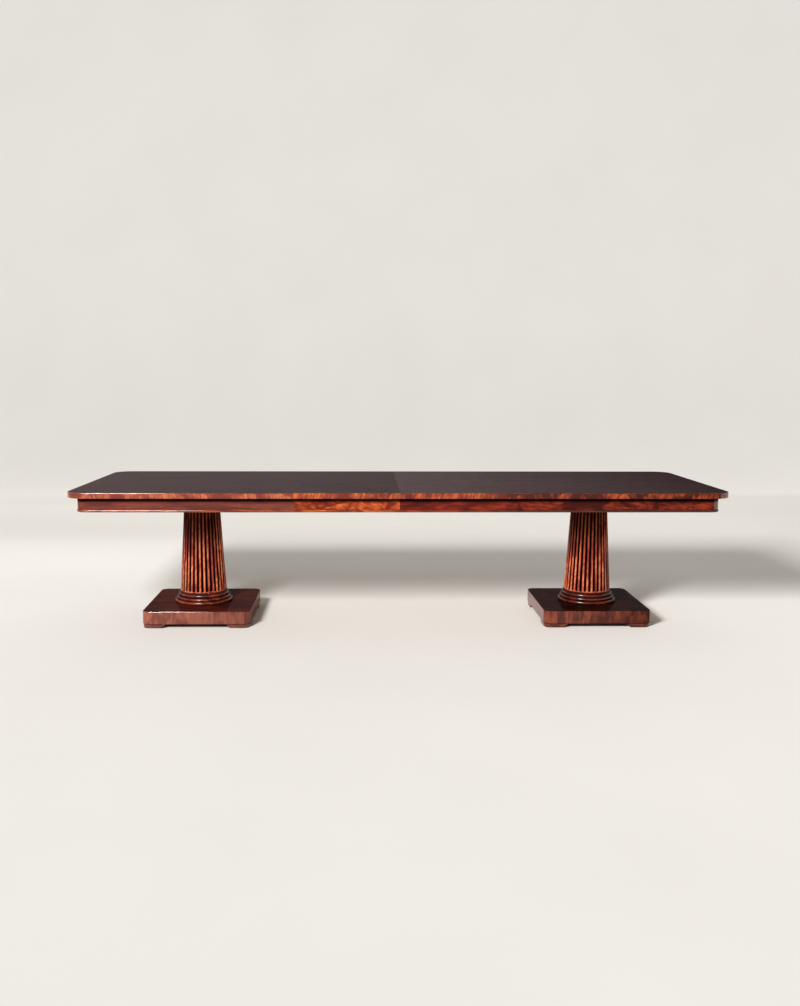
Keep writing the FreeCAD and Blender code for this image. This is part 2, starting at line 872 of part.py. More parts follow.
os.makedirs("parts", exist_ok=True)
for name, shape in nodes.items():
    shape.exportStep("parts/" + name + ".step")
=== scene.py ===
"""Dresses the double pedestal dining table: its finishes, its detailed pieces, the studio and the camera.

Sizes are in millimetres in the classes, and become metres where a mesh or a node takes them.
"""

from __future__ import annotations

import logging
import math
from collections.abc import Sequence
from dataclasses import dataclass, replace
from enum import Enum, IntEnum

import bmesh
import bpy
from mathutils import Matrix, Vector

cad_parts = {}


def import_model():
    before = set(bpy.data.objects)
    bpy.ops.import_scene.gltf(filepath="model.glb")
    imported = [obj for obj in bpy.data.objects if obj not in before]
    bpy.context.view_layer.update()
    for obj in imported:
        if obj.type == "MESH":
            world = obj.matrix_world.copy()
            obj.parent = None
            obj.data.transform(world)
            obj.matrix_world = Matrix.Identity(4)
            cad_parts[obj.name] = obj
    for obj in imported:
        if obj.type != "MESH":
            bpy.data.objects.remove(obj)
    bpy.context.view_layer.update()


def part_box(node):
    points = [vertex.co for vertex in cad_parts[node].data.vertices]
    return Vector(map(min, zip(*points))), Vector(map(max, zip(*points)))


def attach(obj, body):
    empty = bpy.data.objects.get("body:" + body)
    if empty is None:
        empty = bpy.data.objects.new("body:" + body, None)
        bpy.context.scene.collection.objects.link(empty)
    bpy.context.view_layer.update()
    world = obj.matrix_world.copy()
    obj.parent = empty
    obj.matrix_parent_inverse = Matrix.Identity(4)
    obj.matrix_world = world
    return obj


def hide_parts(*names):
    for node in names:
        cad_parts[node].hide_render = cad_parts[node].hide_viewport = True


LOG = logging.getLogger("dining_table")
MM = 0.001
# Attributes of the meshes. The finishes read the first three, and the bead's tree needs the last one.
VENEER_PLACE = "veneer_place"
PAINTED_SHADE = "glaze"
PAINT_DEPTH = "paint_depth"
RUN = "run"
# Painted shade: near black, put in the corner below the top and in the gap above the feet.
PAINTED_CREASE_SHADE = "#0c0303"
# Lengths in millimetres: how far a board reaches into a seam, how near a face lies to the seam that it is in,
# and how near two points lie that become one, in a copy of a node and in a grown mesh.
SEAM_REACH = 0.2
SEAM_SLACK = 0.1
COPY_MERGE = 0.01
GROWN_MERGE = 0.005
# Angles in degrees between faces: up to the first they become one, past the second their edge is eased, and
# past the third it is shaded as sharp.
FLAT_ANGLE = 0.4
EASED_ANGLE = 40.0
SHARP_ANGLE = 35.0
# Parts of a face's normal: upwards on a level face, upwards on an arris, and along X on the rounded corners
# of the right end.
LEVEL = 0.9
TILTED = 0.1
CORNER_TURN = (0.3, 0.95)


class Side(Enum):
    """The two halves of the table, as the nodes spell them."""

    LEFT = "left"
    RIGHT = "right"

    @property
    def body(self) -> str:
        """Body that the half's pieces ride on."""
        return f"{self.value}_half"


class Leaf(Enum):
    """The two leaves between the halves."""

    FIRST = "leaf_1"
    SECOND = "leaf_2"


class Row(Enum):
    """Front and back row of pieces, with the sign of their Y."""

    FRONT = -1
    BACK = 1

    @property
    def word(self) -> str:
        """Name of the row as the nodes spell it."""
        return self.name.lower()


class BoardFace(IntEnum):
    """Kinds of face on a board of the top, in the order of its finishes."""

    TOP = 0
    EDGE = 1
    BARE = 2
    # Arrises and rounded corners, with painted highlights and sheen.
    RUBBED = 3


class ApronFace(IntEnum):
    """Kinds of face on the apron of a half, in the order of its finishes."""

    BOARD = 0
    CORNER = 1


class PlinthFace(IntEnum):
    """Kinds of face on a plinth, in the order of its finishes."""

    SIDE = 0
    TOP = 1
    BARE = 2
    ARRIS = 3


class Grain(Enum):
    """Axis along which the fibres run, as the turn in degrees that lays that axis along X."""

    ALONG_X = (0.0, 0.0, 0.0)
    ALONG_Y = (0.0, 0.0, -90.0)
    UPRIGHT = (0.0, 90.0, 0.0)


class Place(Enum):
    """Where a pattern takes its coordinates from."""

    OBJECT = "object"
    VENEER = VENEER_PLACE


def linear(colour: str) -> tuple[float, float, float, float]:
    """Turns an sRGB hex colour into linear light.

    Args:
        colour: Six hex digits after a hash sign.

    Returns:
        Red, green, blue and an opaque alpha.
    """
    values = []
    for start in (1, 3, 5):
        value = int(colour[start:start + 2], 16) / 255.0
        values.append(value / 12.92 if value <= 0.04045 else ((value + 0.055) / 1.055) ** 2.4)
    return (values[0], values[1], values[2], 1.0)


def add_node(
    tree: bpy.types.NodeTree, kind: str, inputs: dict | None = None, **settings: object,
) -> bpy.types.Node:
    """Adds one node with its settings, values and links.

    Args:
        tree: Node tree that takes the node.
        kind: Blender's name of the node type.
        inputs: Value, output socket or list of output sockets for each input, by name or number.
        settings: Properties of the node itself.

    Returns:
        The new node.
    """
    node = tree.nodes.new(kind)
    for name, value in settings.items():
        setattr(node, name, value)
    for socket, value in (inputs or {}).items():
        for item in value if isinstance(value, list) else [value]:
            if isinstance(item, bpy.types.NodeSocket):
                tree.links.new(item, node.inputs[socket])
            else:
                node.inputs[socket].default_value = item
    return node


@dataclass(frozen=True)
class Finish:
    """One finish by its name. Its subclasses say what goes into the shader."""

    name: str

    def build(self) -> bpy.types.Material:
        """Builds the finish.

        Returns:
            The material.
        """
        material = bpy.data.materials.new(self.name)
        material.use_nodes = True
        tree = material.node_tree
        tree.nodes.clear()
        shader = add_node(tree, "ShaderNodeBsdfPrincipled", self.surface(tree))
        add_node(tree, "ShaderNodeOutputMaterial", {"Surface": shader.outputs[0]})
        return material

    def surface(self, tree: bpy.types.NodeTree) -> dict[str, object]:
        """Adds the patterns of the finish.

        Args:
            tree: Node tree of the finish.

        Returns:
            Value or output socket for each input of the shader.
        """
        raise NotImplementedError


@dataclass(frozen=True)
class ShadeLayer:
    """Painted shade: the socket that tells where it is, and how much it darkens the colour and dulls the
    polish there.
    """

    value: bpy.types.NodeSocket
    span: tuple[float, float]
    shade: str
    shade_share: float
    polish_loss: float


@dataclass(frozen=True)
class Wood(Finish):
    """Wood with figure, streaks, fibres and pores, each given by its length and width in millimetres.

    Its shades go from dark to light. A span holds the values of a noise or of the painted shade that become 0
    and 1.
    Along a ramp between two places on one axis, shade is painted: the wood is darker and its polish is
    thinner.
    """

    shades: tuple[str, str, str]
    grain: Grain = Grain.ALONG_X
    place: Place = Place.OBJECT
    shift: tuple[float, float, float] = (0.0, 0.0, 0.0)
    figure: tuple[float, float] = (120.0, 45.0)
    figure_span: tuple[float, float] = (0.36, 0.64)
    streak: tuple[float, float] = (70.0, 9.0)
    streak_span: tuple[float, float] = (0.36, 0.64)
    streak_slant: tuple[float, float, float] = (0.0, 25.0, 0.0)
    streak_share: float = 0.8
    fibre: tuple[float, float] = (90.0, 1.8)
    fibre_span: tuple[float, float] = (0.3, 0.7)
    fibre_share: float = 0.3
    pore: tuple[float, float] = (9.0, 0.7)
    pore_span: tuple[float, float] = (0.6, 0.72)
    pore_share: float = 0.35
    pore_and_painted_shade: str = "#1a0f0c"
    relief: float = 0.06
    relief_strength: float = 0.25
    roughness: tuple[float, float] = (0.22, 0.36)
    specular: float = 0.0
    coat: float = 0.9
    coat_roughness: float = 0.05
    coat_ior: float = 1.3
    glaze: str = ""
    glaze_span: tuple[float, float] = (0.1, 0.8)
    glaze_share: float = 0.9
    fade: tuple[float, float] | None = None
    shade_ramp_axis: int = 0
    fade_share: float = 0.7
    shade_ramp_depth: float = 0.6

    def surface(self, tree: bpy.types.NodeTree) -> dict[str, object]:
        """Lays the grain and the painted shade over each other, and thins the polish with the shade.

        Args:
            tree: Node tree of the finish.

        Returns:
            Value or output socket for each input of the shader.
        """
        dark, middle, light = self.shades
        local = self.local_place(tree)
        figure = self.pattern(tree, local, self.figure, self.figure_span, detail=3.0, warp=1.1)
        streak = self.pattern(
            tree, local, self.streak, self.streak_span, self.streak_slant, detail=2.0, warp=0.6)
        fibre = self.pattern(tree, local, self.fibre, self.fibre_span, detail=2.0)
        pore = self.pattern(tree, local, self.pore, self.pore_span)
        flame = add_node(tree, "ShaderNodeMath", {0: figure, 1: streak}, operation="MULTIPLY")
        layers = [
            (figure, 1.0, middle), (flame.outputs[0], self.streak_share, light),
            (fibre, self.fibre_share, dark), (pore, self.pore_share, self.pore_and_painted_shade),
        ]
        polish = self.coat
        for darkening in self.shade_layers(tree):
            dimmed = add_node(
                tree, "ShaderNodeMapRange",
                {"Value": darkening.value, "From Min": darkening.span[0], "From Max": darkening.span[1]})
            layers.append((dimmed.outputs[0], darkening.shade_share, darkening.shade))
            kept = add_node(
                tree, "ShaderNodeMapRange",
                {"Value": dimmed.outputs[0], "To Min": 1.0, "To Max": 1.0 - darkening.polish_loss})
            thin = add_node(tree, "ShaderNodeMath", {0: polish, 1: kept.outputs[0]}, operation="MULTIPLY")
            polish = thin.outputs[0]
        colour = linear(dark)
        for amount, share, shade in layers:
            part = add_node(tree, "ShaderNodeMath", {0: amount, 1: share}, operation="MULTIPLY")
            mixed = add_node(
                tree, "ShaderNodeMix", {0: part.outputs[0], 6: colour, 7: linear(shade)}, data_type="RGBA")
            colour = mixed.outputs[2]
        smooth, rough = self.roughness
        dull = add_node(tree, "ShaderNodeMapRange", {"Value": fibre, "To Min": smooth, "To Max": rough})
        sunk = add_node(tree, "ShaderNodeMath", {0: fibre, 1: pore}, operation="ADD")
        bump = add_node(
            tree, "ShaderNodeBump",
            {"Height": sunk.outputs[0], "Strength": self.relief_strength, "Distance": self.relief * MM},
            invert=True)
        return {
            "Base Color": colour, "Roughness": dull.outputs[0], "Normal": bump.outputs[0],
            "Specular IOR Level": self.specular, "Coat Weight": polish,
            "Coat Roughness": self.coat_roughness, "Coat IOR": self.coat_ior,
        }

    def shade_layers(self, tree: bpy.types.NodeTree) -> list[ShadeLayer]:
        """Finds where shade is painted: in hollows, creases and corners, and along a ramp.

        Args:
            tree: Node tree of the finish.

        Returns:
            Those of the two that the wood has.
        """
        found = []
        # Shade painted in hollows, creases and corners, as much as the mesh notes there.
        if self.glaze:
            depth = add_node(tree, "ShaderNodeAttribute", attribute_name=PAINTED_SHADE)
            found.append(ShadeLayer(
                depth.outputs["Fac"], self.glaze_span, self.glaze, self.glaze_share, self.glaze_share))
        # Shade painted along a ramp: darker wood and a thinner polish between two places on one axis.
        if self.fade:
            place = add_node(tree, "ShaderNodeTexCoord")
            split = add_node(tree, "ShaderNodeSeparateXYZ", {0: place.outputs["Object"]})
            span = (self.fade[0] * MM, self.fade[1] * MM)
            darkness = self.fade_share * self.shade_ramp_depth
            found.append(ShadeLayer(
                split.outputs[self.shade_ramp_axis], span, self.pore_and_painted_shade, darkness, self.fade_share))
        return found

    def local_place(self, tree: bpy.types.NodeTree) -> bpy.types.NodeSocket:
        """Lays the fibres along X and shifts the pattern, so that no two boards are alike.

        Args:
            tree: Node tree of the finish.

        Returns:
            Socket with the coordinates in metres.
        """
        if self.place is Place.OBJECT:
            source = add_node(tree, "ShaderNodeTexCoord").outputs["Object"]
        else:
            source = add_node(tree, "ShaderNodeAttribute", attribute_name=self.place.value).outputs["Vector"]
        turn = tuple(math.radians(angle) for angle in self.grain.value)
        move = tuple(length * MM for length in self.shift)
        laid = add_node(tree, "ShaderNodeMapping", {"Vector": source, "Rotation": turn, "Location": move})
        return laid.outputs[0]

    def pattern(
        self, tree: bpy.types.NodeTree, local: bpy.types.NodeSocket, size: tuple[float, float],
        span: tuple[float, float], slant: tuple[float, float, float] = (0.0, 0.0, 0.0), *,
        detail: float = 0.0, warp: float = 0.0,
    ) -> bpy.types.NodeSocket:
        """Adds one drawn-out noise.

        Args:
            tree: Node tree of the finish.
            local: Coordinates with the fibres along X.
            size: Length and width of one mark in millimetres.
            span: Values of the noise that become 0 and 1.
            slant: Turn of the marks in degrees.
            detail: Levels of finer noise.
            warp: How much the marks are bent.

        Returns:
            Socket with a value from 0 to 1.
        """
        turn = tuple(math.radians(angle) for angle in slant)
        length, width = size
        sizes = (length * MM, width * MM, width * MM)
        drawn = add_node(
            tree, "ShaderNodeMapping", {"Vector": local, "Rotation": turn, "Scale": sizes},
            vector_type="TEXTURE")
        noise = add_node(
            tree, "ShaderNodeTexNoise",
            {"Vector": drawn.outputs[0], "Scale": 1.0, "Detail": detail, "Distortion": warp})
        spread = add_node(
            tree, "ShaderNodeMapRange",
            {"Value": noise.outputs[0], "From Min": span[0], "From Max": span[1]},
            interpolation_type="SMOOTHSTEP")
        return spread.outputs[0]


@dataclass(frozen=True)
class Steel(Finish):
    """Plain steel with clouds and the fine lines that machining or plating leaves, in millimetres."""

    colour: str
    dull: str
    line: tuple[float, float] = (14.0, 0.5)
    cloud: float = 50.0 / 3.0
    roughness: tuple[float, float] = (0.28, 0.46)
    relief: float = 0.04
    relief_strength: float = 0.3

    def surface(self, tree: bpy.types.NodeTree) -> dict[str, object]:
        """Adds the lines and the clouds.

        Args:
            tree: Node tree of the finish.

        Returns:
            Value or output socket for each input of the shader.
        """
        place = add_node(tree, "ShaderNodeTexCoord").outputs["Object"]
        length, width = self.line
        sizes = (length * MM, length * MM, width * MM)
        drawn = add_node(tree, "ShaderNodeMapping", {"Vector": place, "Scale": sizes}, vector_type="TEXTURE")
        lines = add_node(
            tree, "ShaderNodeTexNoise", {"Vector": drawn.outputs[0], "Scale": 1.0, "Detail": 3.0})
        cloud = add_node(
            tree, "ShaderNodeTexNoise", {"Vector": place, "Scale": 1.0 / (self.cloud * MM), "Detail": 2.0})
        colour = add_node(
            tree, "ShaderNodeMix", {0: cloud.outputs[0], 6: linear(self.dull), 7: linear(self.colour)},
            data_type="RGBA")
        smooth, rough = self.roughness
        dull = add_node(
            tree, "ShaderNodeMapRange", {"Value": lines.outputs[0], "To Min": smooth, "To Max": rough})
        bump = add_node(
            tree, "ShaderNodeBump",
            {"Height": lines.outputs[0], "Strength": self.relief_strength, "Distance": self.relief * MM})
        return {
            "Base Color": colour.outputs[2], "Metallic": 1.0, "Roughness": dull.outputs[0],
            "Normal": bump.outputs[0],
        }


@dataclass(frozen=True)
class Nylon(Finish):
    """Moulded nylon with a fine spark texture, whose grit is in millimetres."""

    colour: str
    pale: str
    grit: float = 0.6
    roughness: tuple[float, float] = (0.42, 0.6)
    relief: float = 0.05
    relief_strength: float = 0.4

    def surface(self, tree: bpy.types.NodeTree) -> dict[str, object]:
        """Adds the grit.

        Args:
            tree: Node tree of the finish.

        Returns:
            Value or output socket for each input of the shader.
        """
        place = add_node(tree, "ShaderNodeTexCoord").outputs["Object"]
        grit = add_node(
            tree, "ShaderNodeTexNoise", {"Vector": place, "Scale": 1.0 / (self.grit * MM), "Detail": 1.0})
        colour = add_node(
            tree, "ShaderNodeMix", {0: grit.outputs[0], 6: linear(self.colour), 7: linear(self.pale)},
            data_type="RGBA")
        smooth, rough = self.roughness
        dull = add_node(
            tree, "ShaderNodeMapRange", {"Value": grit.outputs[0], "To Min": smooth, "To Max": rough})
        bump = add_node(
            tree, "ShaderNodeBump",
            {"Height": grit.outputs[0], "Strength": self.relief_strength, "Distance": self.relief * MM})
        return {
            "Base Color": colour.outputs[2], "Roughness": dull.outputs[0], "Normal": bump.outputs[0],
        }


@dataclass(frozen=True)
class StudioPaint(Finish):
    """Matt pale paint of the studio's floor and backdrop, deeper where more light falls on it."""

    colour: str
    cloud: float = 900.0
    cloud_shares: tuple[float, float] = (0.97, 1.03)
    roughness: float = 0.9

    def surface(self, tree: bpy.types.NodeTree) -> dict[str, object]:
        """Adds faint clouds and the depth of the paint.

        Args:
            tree: Node tree of the finish.

        Returns:
            Value or output socket for each input of the shader.
        """
        place = add_node(tree, "ShaderNodeTexCoord").outputs["Object"]
        cloud = add_node(
            tree, "ShaderNodeTexNoise", {"Vector": place, "Scale": 1.0 / (self.cloud * MM), "Detail": 2.0})
        least, most = self.cloud_shares
        uneven = add_node(
            tree, "ShaderNodeMapRange", {"Value": cloud.outputs[0], "To Min": least, "To Max": most})
        depth = add_node(tree, "ShaderNodeAttribute", attribute_name=PAINT_DEPTH)
        share = add_node(
            tree, "ShaderNodeMath", {0: uneven.outputs[0], 1: depth.outputs["Fac"]}, operation="MULTIPLY")
        colour = add_node(
            tree, "ShaderNodeVectorMath", {0: linear(self.colour)[:3], "Scale": share.outputs[0]},
            operation="SCALE")
        return {"Base Color": colour.outputs[0], "Roughness": self.roughness, "Specular IOR Level": 0.0}


def wood_family(
    name: str, rows: dict[str | Side, dict[str, object]], **shared: object,
) -> dict[str | Side, bpy.types.Material]:
    """Builds one finish of wood for each body or side.

    Args:
        name: First part of the finishes' names.
        rows: Values that each body or side has for itself.
        shared: Values that all of them have.

    Returns:
        Material of each body or side.
    """
    built = {}
    for key, own in rows.items():
        word = key.value if isinstance(key, Side) else key
        built[key] = Wood(f"{name}_{word}", **shared, **own).build()
    return built


class Finishes:
    """All finishes of the table, built once."""

    def __init__(self) -> None:
        """Builds each finish."""
        self.build_top()
        self.build_apron()
        self.build_pedestal()
        self.build_works()

    def build_top(self) -> None:
        """Builds the veneers of the top, its edge and its arrises."""
        # Figured mahogany veneer on the flat of the top: dark purple-brown, with a thin hard polish that
        # shines along the surface more than from above. Shade is painted towards the right end: darker veneer
        # and a thinner polish.
        self.top = wood_family("polished_mahogany_veneer", {
            "left_half": dict(
                shades=("#2f161c", "#3b1c24", "#4a242c"), coat=0.14, fade=(-1680.0, -530.0), fade_share=0.1),
            "leaf_1": dict(
                shades=("#2c151a", "#371a21", "#452128"), shift=(900.0, 630.0, 0.0), coat=0.125,
                fade=(-530.0, 0.0), fade_share=0.1),
            "leaf_2": dict(
                shades=("#33181e", "#3f1f27", "#4f2830"), shift=(1900.0, 1330.0, 0.0), coat=0.157,
                fade=(0.0, 1680.0), fade_share=0.75),
            "right_half": dict(
                shades=("#32171e", "#3e1e26", "#4e272f"), shift=(3100.0, 2170.0, 0.0), coat=0.152,
                fade=(0.0, 1680.0), fade_share=0.75),
        }, figure=(420.0, 90.0), streak=(160.0, 14.0), streak_slant=(0.0, 0.0, 14.0), streak_share=0.7,
            coat_ior=2.0)
        # Crossbanded flame veneer on the edge of the top: upright fibres, bright patches between dark ones.
        # The right half has painted shade, darker towards its end.
        bands = {
            "left_half": dict(shades=("#702c22", "#92442f", "#c87444")),
            "leaf_1": dict(shades=("#6a2417", "#98401f", "#de763a"), shift=(0.0, 0.0, 700.0)),
            "leaf_2": dict(shades=("#5c1e12", "#8a331c", "#d06834"), shift=(0.0, 0.0, 1500.0)),
            "right_half": dict(
                shades=("#46120a", "#832c18", "#d26636"), shift=(0.0, 0.0, 2300.0), fade=(500.0, 1680.0)),
        }
        self.edge = wood_family(
            "crossband_flame_mahogany", bands, grain=Grain.UPRIGHT, place=Place.VENEER, figure=(90.0, 95.0),
            figure_span=(0.4, 0.66), streak=(60.0, 13.0), streak_slant=(0.0, 18.0, 0.0), fibre=(45.0, 2.2),
            coat_ior=1.4, fade_share=0.75)
        # Arrises and corners of the top with a glossier polish that paints highlights: a bright line along
        # the front of the left half, dulled and darker past it, and a sheen on the rounded corners of the
        # right one.
        self.rubbed = dict(self.edge)
        self.rubbed.update(wood_family("rubbed_mahogany_arris", {
            "left_half": dict(
                shades=bands["left_half"]["shades"], coat_ior=1.85, fade=(-1400.0, -1120.0)),
            "right_half": dict(
                shades=bands["right_half"]["shades"], coat_ior=2.2, fade=(1640.0, 1560.0)),
        }, grain=Grain.UPRIGHT, place=Place.VENEER, fade_share=0.9))

    def build_apron(self) -> None:
        """Builds the woods of the apron and its bead."""
        # Mahogany apron boards, each cut from another plank: plain at the left, flamed on the first leaf.
        # Shade is painted near black in the corner below the top.
        boards = {
            "left_half": dict(
                shades=("#582a23", "#6e352c", "#7e3f33"), figure=(260.0, 60.0), streak_slant=(0.0, 4.0, 0.0)),
            "leaf_1": dict(
                shades=("#661f10", "#a64320", "#d86c34"), shift=(800.0, 0.0, 0.0), figure=(95.0, 42.0),
                streak_slant=(0.0, 32.0, 0.0)),
            "leaf_2": dict(
                shades=("#48120a", "#702115", "#90321d"), shift=(1700.0, 0.0, 0.0), figure=(240.0, 50.0),
                streak_slant=(0.0, 6.0, 0.0)),
            "right_half": dict(
                shades=("#3a0d06", "#661a0e", "#983a1e"), shift=(2600.0, 0.0, 0.0), figure=(130.0, 60.0),
                streak_slant=(0.0, 14.0, 0.0)),
        }
        self.apron = wood_family(
            "flat_sawn_mahogany_apron", boards, place=Place.VENEER, coat=0.5, glaze=PAINTED_CREASE_SHADE)
        # Rounded corners of the apron. The right ones have a glossier polish that paints a sheen on them.
        self.apron_corner = dict(self.apron)
        self.apron_corner["right_half"] = Wood(
            "rubbed_mahogany_apron_corner", boards["right_half"]["shades"], place=Place.VENEER, coat_ior=2.2,
            glaze=PAINTED_CREASE_SHADE).build()
        # Straight-grained mahogany moulding, a bead with a bright gloss on its nose.
        self.bead = wood_family("mahogany_bead_moulding", {
            "left_half": dict(shades=("#5c2417", "#8c4026", "#b86238")),
            "leaf_1": dict(shades=("#6a2412", "#a04a20", "#cf7034"), shift=(600.0, 0.0, 0.0)),
            "leaf_2": dict(shades=("#4c160c", "#74260f", "#963c1a"), shift=(1300.0, 0.0, 0.0)),
            "right_half": dict(shades=("#300c07", "#4a150a", "#6a2412"), shift=(2100.0, 0.0, 0.0)),
        }, place=Place.VENEER, figure=(140.0, 30.0), streak=(80.0, 6.0), streak_slant=(0.0, 8.0, 0.0),
            roughness=(0.18, 0.3), coat_ior=1.5)

    def build_pedestal(self) -> None:
        """Builds the woods of the pedestals, of which the right one is darker than the left one: painted
        shade.
        """
        # Turned mahogany column with upright fibres and painted shade: near black in the hollows of its
        # flutes, and darker towards its top, below the table top.
        self.column = Wood(
            "fluted_mahogany_painted_shade", ("#822e20", "#c45636", "#f49464"), grain=Grain.UPRIGHT,
            figure=(180.0, 40.0), streak=(90.0, 8.0), streak_share=0.75, roughness=(0.2, 0.34),
            glaze="#080101", glaze_share=1.0, glaze_span=(0.18, 0.66), fade=(390.0, 560.0), shade_ramp_axis=2,
            fade_share=1.0).build()
        # Turned mahogany rings under a thick gloss, with painted shade in their creases.
        self.ring = wood_family("turned_mahogany_ring", {
            Side.LEFT: dict(shades=("#521810", "#80301c", "#ae502c")),
            Side.RIGHT: dict(shades=("#3a0f09", "#5c1e12", "#84341d")),
        }, figure=(90.0, 40.0), streak=(60.0, 9.0), roughness=(0.16, 0.28), coat_roughness=0.24,
            coat_ior=1.7, glaze="#1a0604", glaze_share=0.75, glaze_span=(0.0, 0.7))
        # Mahogany plinth: upright flame veneer round its sides, with painted shade: darker towards the right,
        # and a near black line above the feet.
        sides = {
            Side.LEFT: dict(
                shades=("#6b382b", "#8a4c3d", "#9c5d4a"), fade=(-1250.0, -790.0), fade_share=0.55),
            Side.RIGHT: dict(
                shades=("#46180f", "#66291c", "#944b2f"), fade=(1000.0, 1370.0), fade_share=0.85),
        }
        self.plinth_side = wood_family(
            "flame_mahogany_plinth", sides, grain=Grain.UPRIGHT, streak=(90.0, 12.0),
            streak_slant=(0.0, 6.0, 0.0), streak_share=0.6, fibre_share=0.2, coat_ior=1.45,
            glaze=PAINTED_CREASE_SHADE)
        # Arris of the plinth, with a glossier polish that paints a bright highlight along the front of the
        # left one, dulled and darker past it.
        self.plinth_arris = dict(self.plinth_side)
        self.plinth_arris[Side.LEFT] = Wood(
            "rubbed_mahogany_plinth_arris", sides[Side.LEFT]["shades"], grain=Grain.UPRIGHT, coat_ior=1.7,
            fade=(-1200.0, -960.0), fade_share=0.9).build()
        # Dark polished veneer on top of the plinth.
        self.plinth_top = wood_family("polished_mahogany_plinth_top", {
            Side.LEFT: dict(shades=("#34120d", "#481a12", "#5c2417")),
            Side.RIGHT: dict(shades=("#1e0906", "#2a0e0a", "#3c160f")),
        }, figure=(240.0, 90.0), streak=(160.0, 24.0), streak_slant=(0.0, 0.0, 10.0), streak_share=0.5,
            coat=0.053, coat_ior=2.0)
        # Mahogany bracket foot, shaped and polished as the plinth is.
        self.foot = wood_family("mahogany_bracket_foot", {
            Side.LEFT: dict(shades=("#4a221a", "#663629", "#844a39")),
            Side.RIGHT: dict(shades=("#3e160c", "#5c2616", "#7c3822")),
        }, figure=(80.0, 30.0), coat_ior=1.5)

    def build_works(self) -> None:
        """Builds the finishes of the underside, the slides and the fixings."""
        # Unpolished mahogany of the underside and of the joints between boards: paler and matt.
        self.bare = Wood(
            "unpolished_mahogany", ("#5b3424", "#7a4a33", "#946044"), figure=(300.0, 70.0),
            roughness=(0.6, 0.75), specular=0.25, coat=0.0).build()
        # Maple of the slides, cleats and battens: pale, close grain under a thin clear seal.
        maple = Wood(
            "sealed_maple", ("#a98052", "#c39b69", "#d8b684"), figure=(260.0, 45.0), streak=(140.0, 6.0),
            streak_slant=(0.0, 0.0, 4.0), streak_share=0.6, fibre=(70.0, 1.6), fibre_share=0.22,
            pore=(5.0, 0.6), pore_share=0.06, roughness=(0.42, 0.56), specular=0.4, coat=0.0)
        self.maple = maple.build()
        self.maple_across = replace(maple, name="sealed_maple_across", grain=Grain.ALONG_Y).build()
        # Milled steel of racks and pinions, slightly oiled: grey with fine cutter lines.
        self.gear = Steel("milled_oiled_steel", "#8f9092", "#6c6d70").build()
        # Zinc-plated fixings: brighter and a little cloudy.
        self.fixing = Steel("zinc_plated_steel", "#b4b5b2", "#92938f", roughness=(0.24, 0.4)).build()
        # Moulded nylon of the glides: black and slightly rough.
        self.nylon = Nylon("moulded_black_nylon", "#191716", "#2a2725").build()


@dataclass(frozen=True)
class PathPoint:
    """One point of a plan outline in millimetres, its outward direction and its distance along the path."""

    x: float
    y: float
    out_x: float
    out_y: float
    along: float


def half_outline(seam: float, end: float, half_width: float, radius: float, steps: int) -> list[PathPoint]:
    """Outline of one half of the table, from the front of its seam round both corners to the back.

    Args:
        seam: X of the seam.
        end: X of the far end.
        half_width: Largest Y.
        radius: Radius of the two corners.
        steps: Parts of each corner.

    Returns:
        Points of the outline.
    """
    sign = 1.0 if end > seam else -1.0
    corner = end - sign * radius
    plan = [(seam, -half_width, 0.0, -1.0)]
    for row in (-1.0, 1.0):
        for step in range(steps + 1):
            share = step / steps if row < 0.0 else 1.0 - step / steps
            angle = share * math.pi / 2.0
            out = (sign * math.sin(angle), row * math.cos(angle))
            plan.append((corner + radius * out[0], row * (half_width - radius) + radius * out[1], *out))
    plan.append((seam, half_width, 0.0, 1.0))
    points = []
    along = 0.0
    for number, (x, y, out_x, out_y) in enumerate(plan):
        if number:
            along += math.hypot(x - plan[number - 1][0], y - plan[number - 1][1])
        points.append(PathPoint(x, y, out_x, out_y, along))
    return points


def straight_line(start: float, end: float) -> list[PathPoint]:
    """Line along X, for a board whose profile is given in Y and Z.

    Args:
        start: Lower X.
        end: Higher X.

    Returns:
        The two points.
    """
    return [PathPoint(start, 0.0, 0.0, -1.0, start), PathPoint(end, 0.0, 0.0, -1.0, end)]


@dataclass(frozen=True)
class Section:
    """One point of a profile in millimetres: inset or radius, height, and how much shade is painted there."""

    inset: float
    height: float
    glaze: float = 0.0


def rounded_corner(centre: tuple[float, float], radius: float, start: float, steps: int) -> list[Section]:
    """Quarter circle of a profile.

    Args:
        centre: Centre of the arc.
        radius: Radius of the arc.
        start: Angle of its first point in degrees.
        steps: Parts of the arc.

    Returns:
        Points of the arc, turning to the left.
    """
    points = []
    for step in range(steps + 1):
        angle = math.radians(start + 90.0 * step / steps)
        points.append(Section(centre[0] + radius * math.cos(angle), centre[1] + radius * math.sin(angle)))
    return points


def rings_on_path(
    draft: bmesh.types.BMesh, path: Sequence[PathPoint], profile: Sequence[Section],
) -> list[list[bmesh.types.BMVert]]:
    """Lays a profile at each point of a path, and notes the place of the veneer and the painted shade on it.

    Args:
        draft: Mesh that takes the points.
        path: Points of the path.
        profile: Points of the profile, with their insets from the path.

    Returns:
        One row of points for each point of the path.
    """
    veneer = draft.verts.layers.float_vector.new(VENEER_PLACE)
    glaze = draft.verts.layers.float.new(PAINTED_SHADE)
    rings = []
    for point in path:
        ring = []
        for section in profile:
            x = point.x - section.inset * point.out_x
            y = point.y - section.inset * point.out_y
            vert = draft.verts.new(Vector((x, y, section.height)) * MM)
            vert[veneer] = Vector((point.along, section.inset, section.height)) * MM
            vert[glaze] = section.glaze
            ring.append(vert)
        rings.append(ring)
    return rings


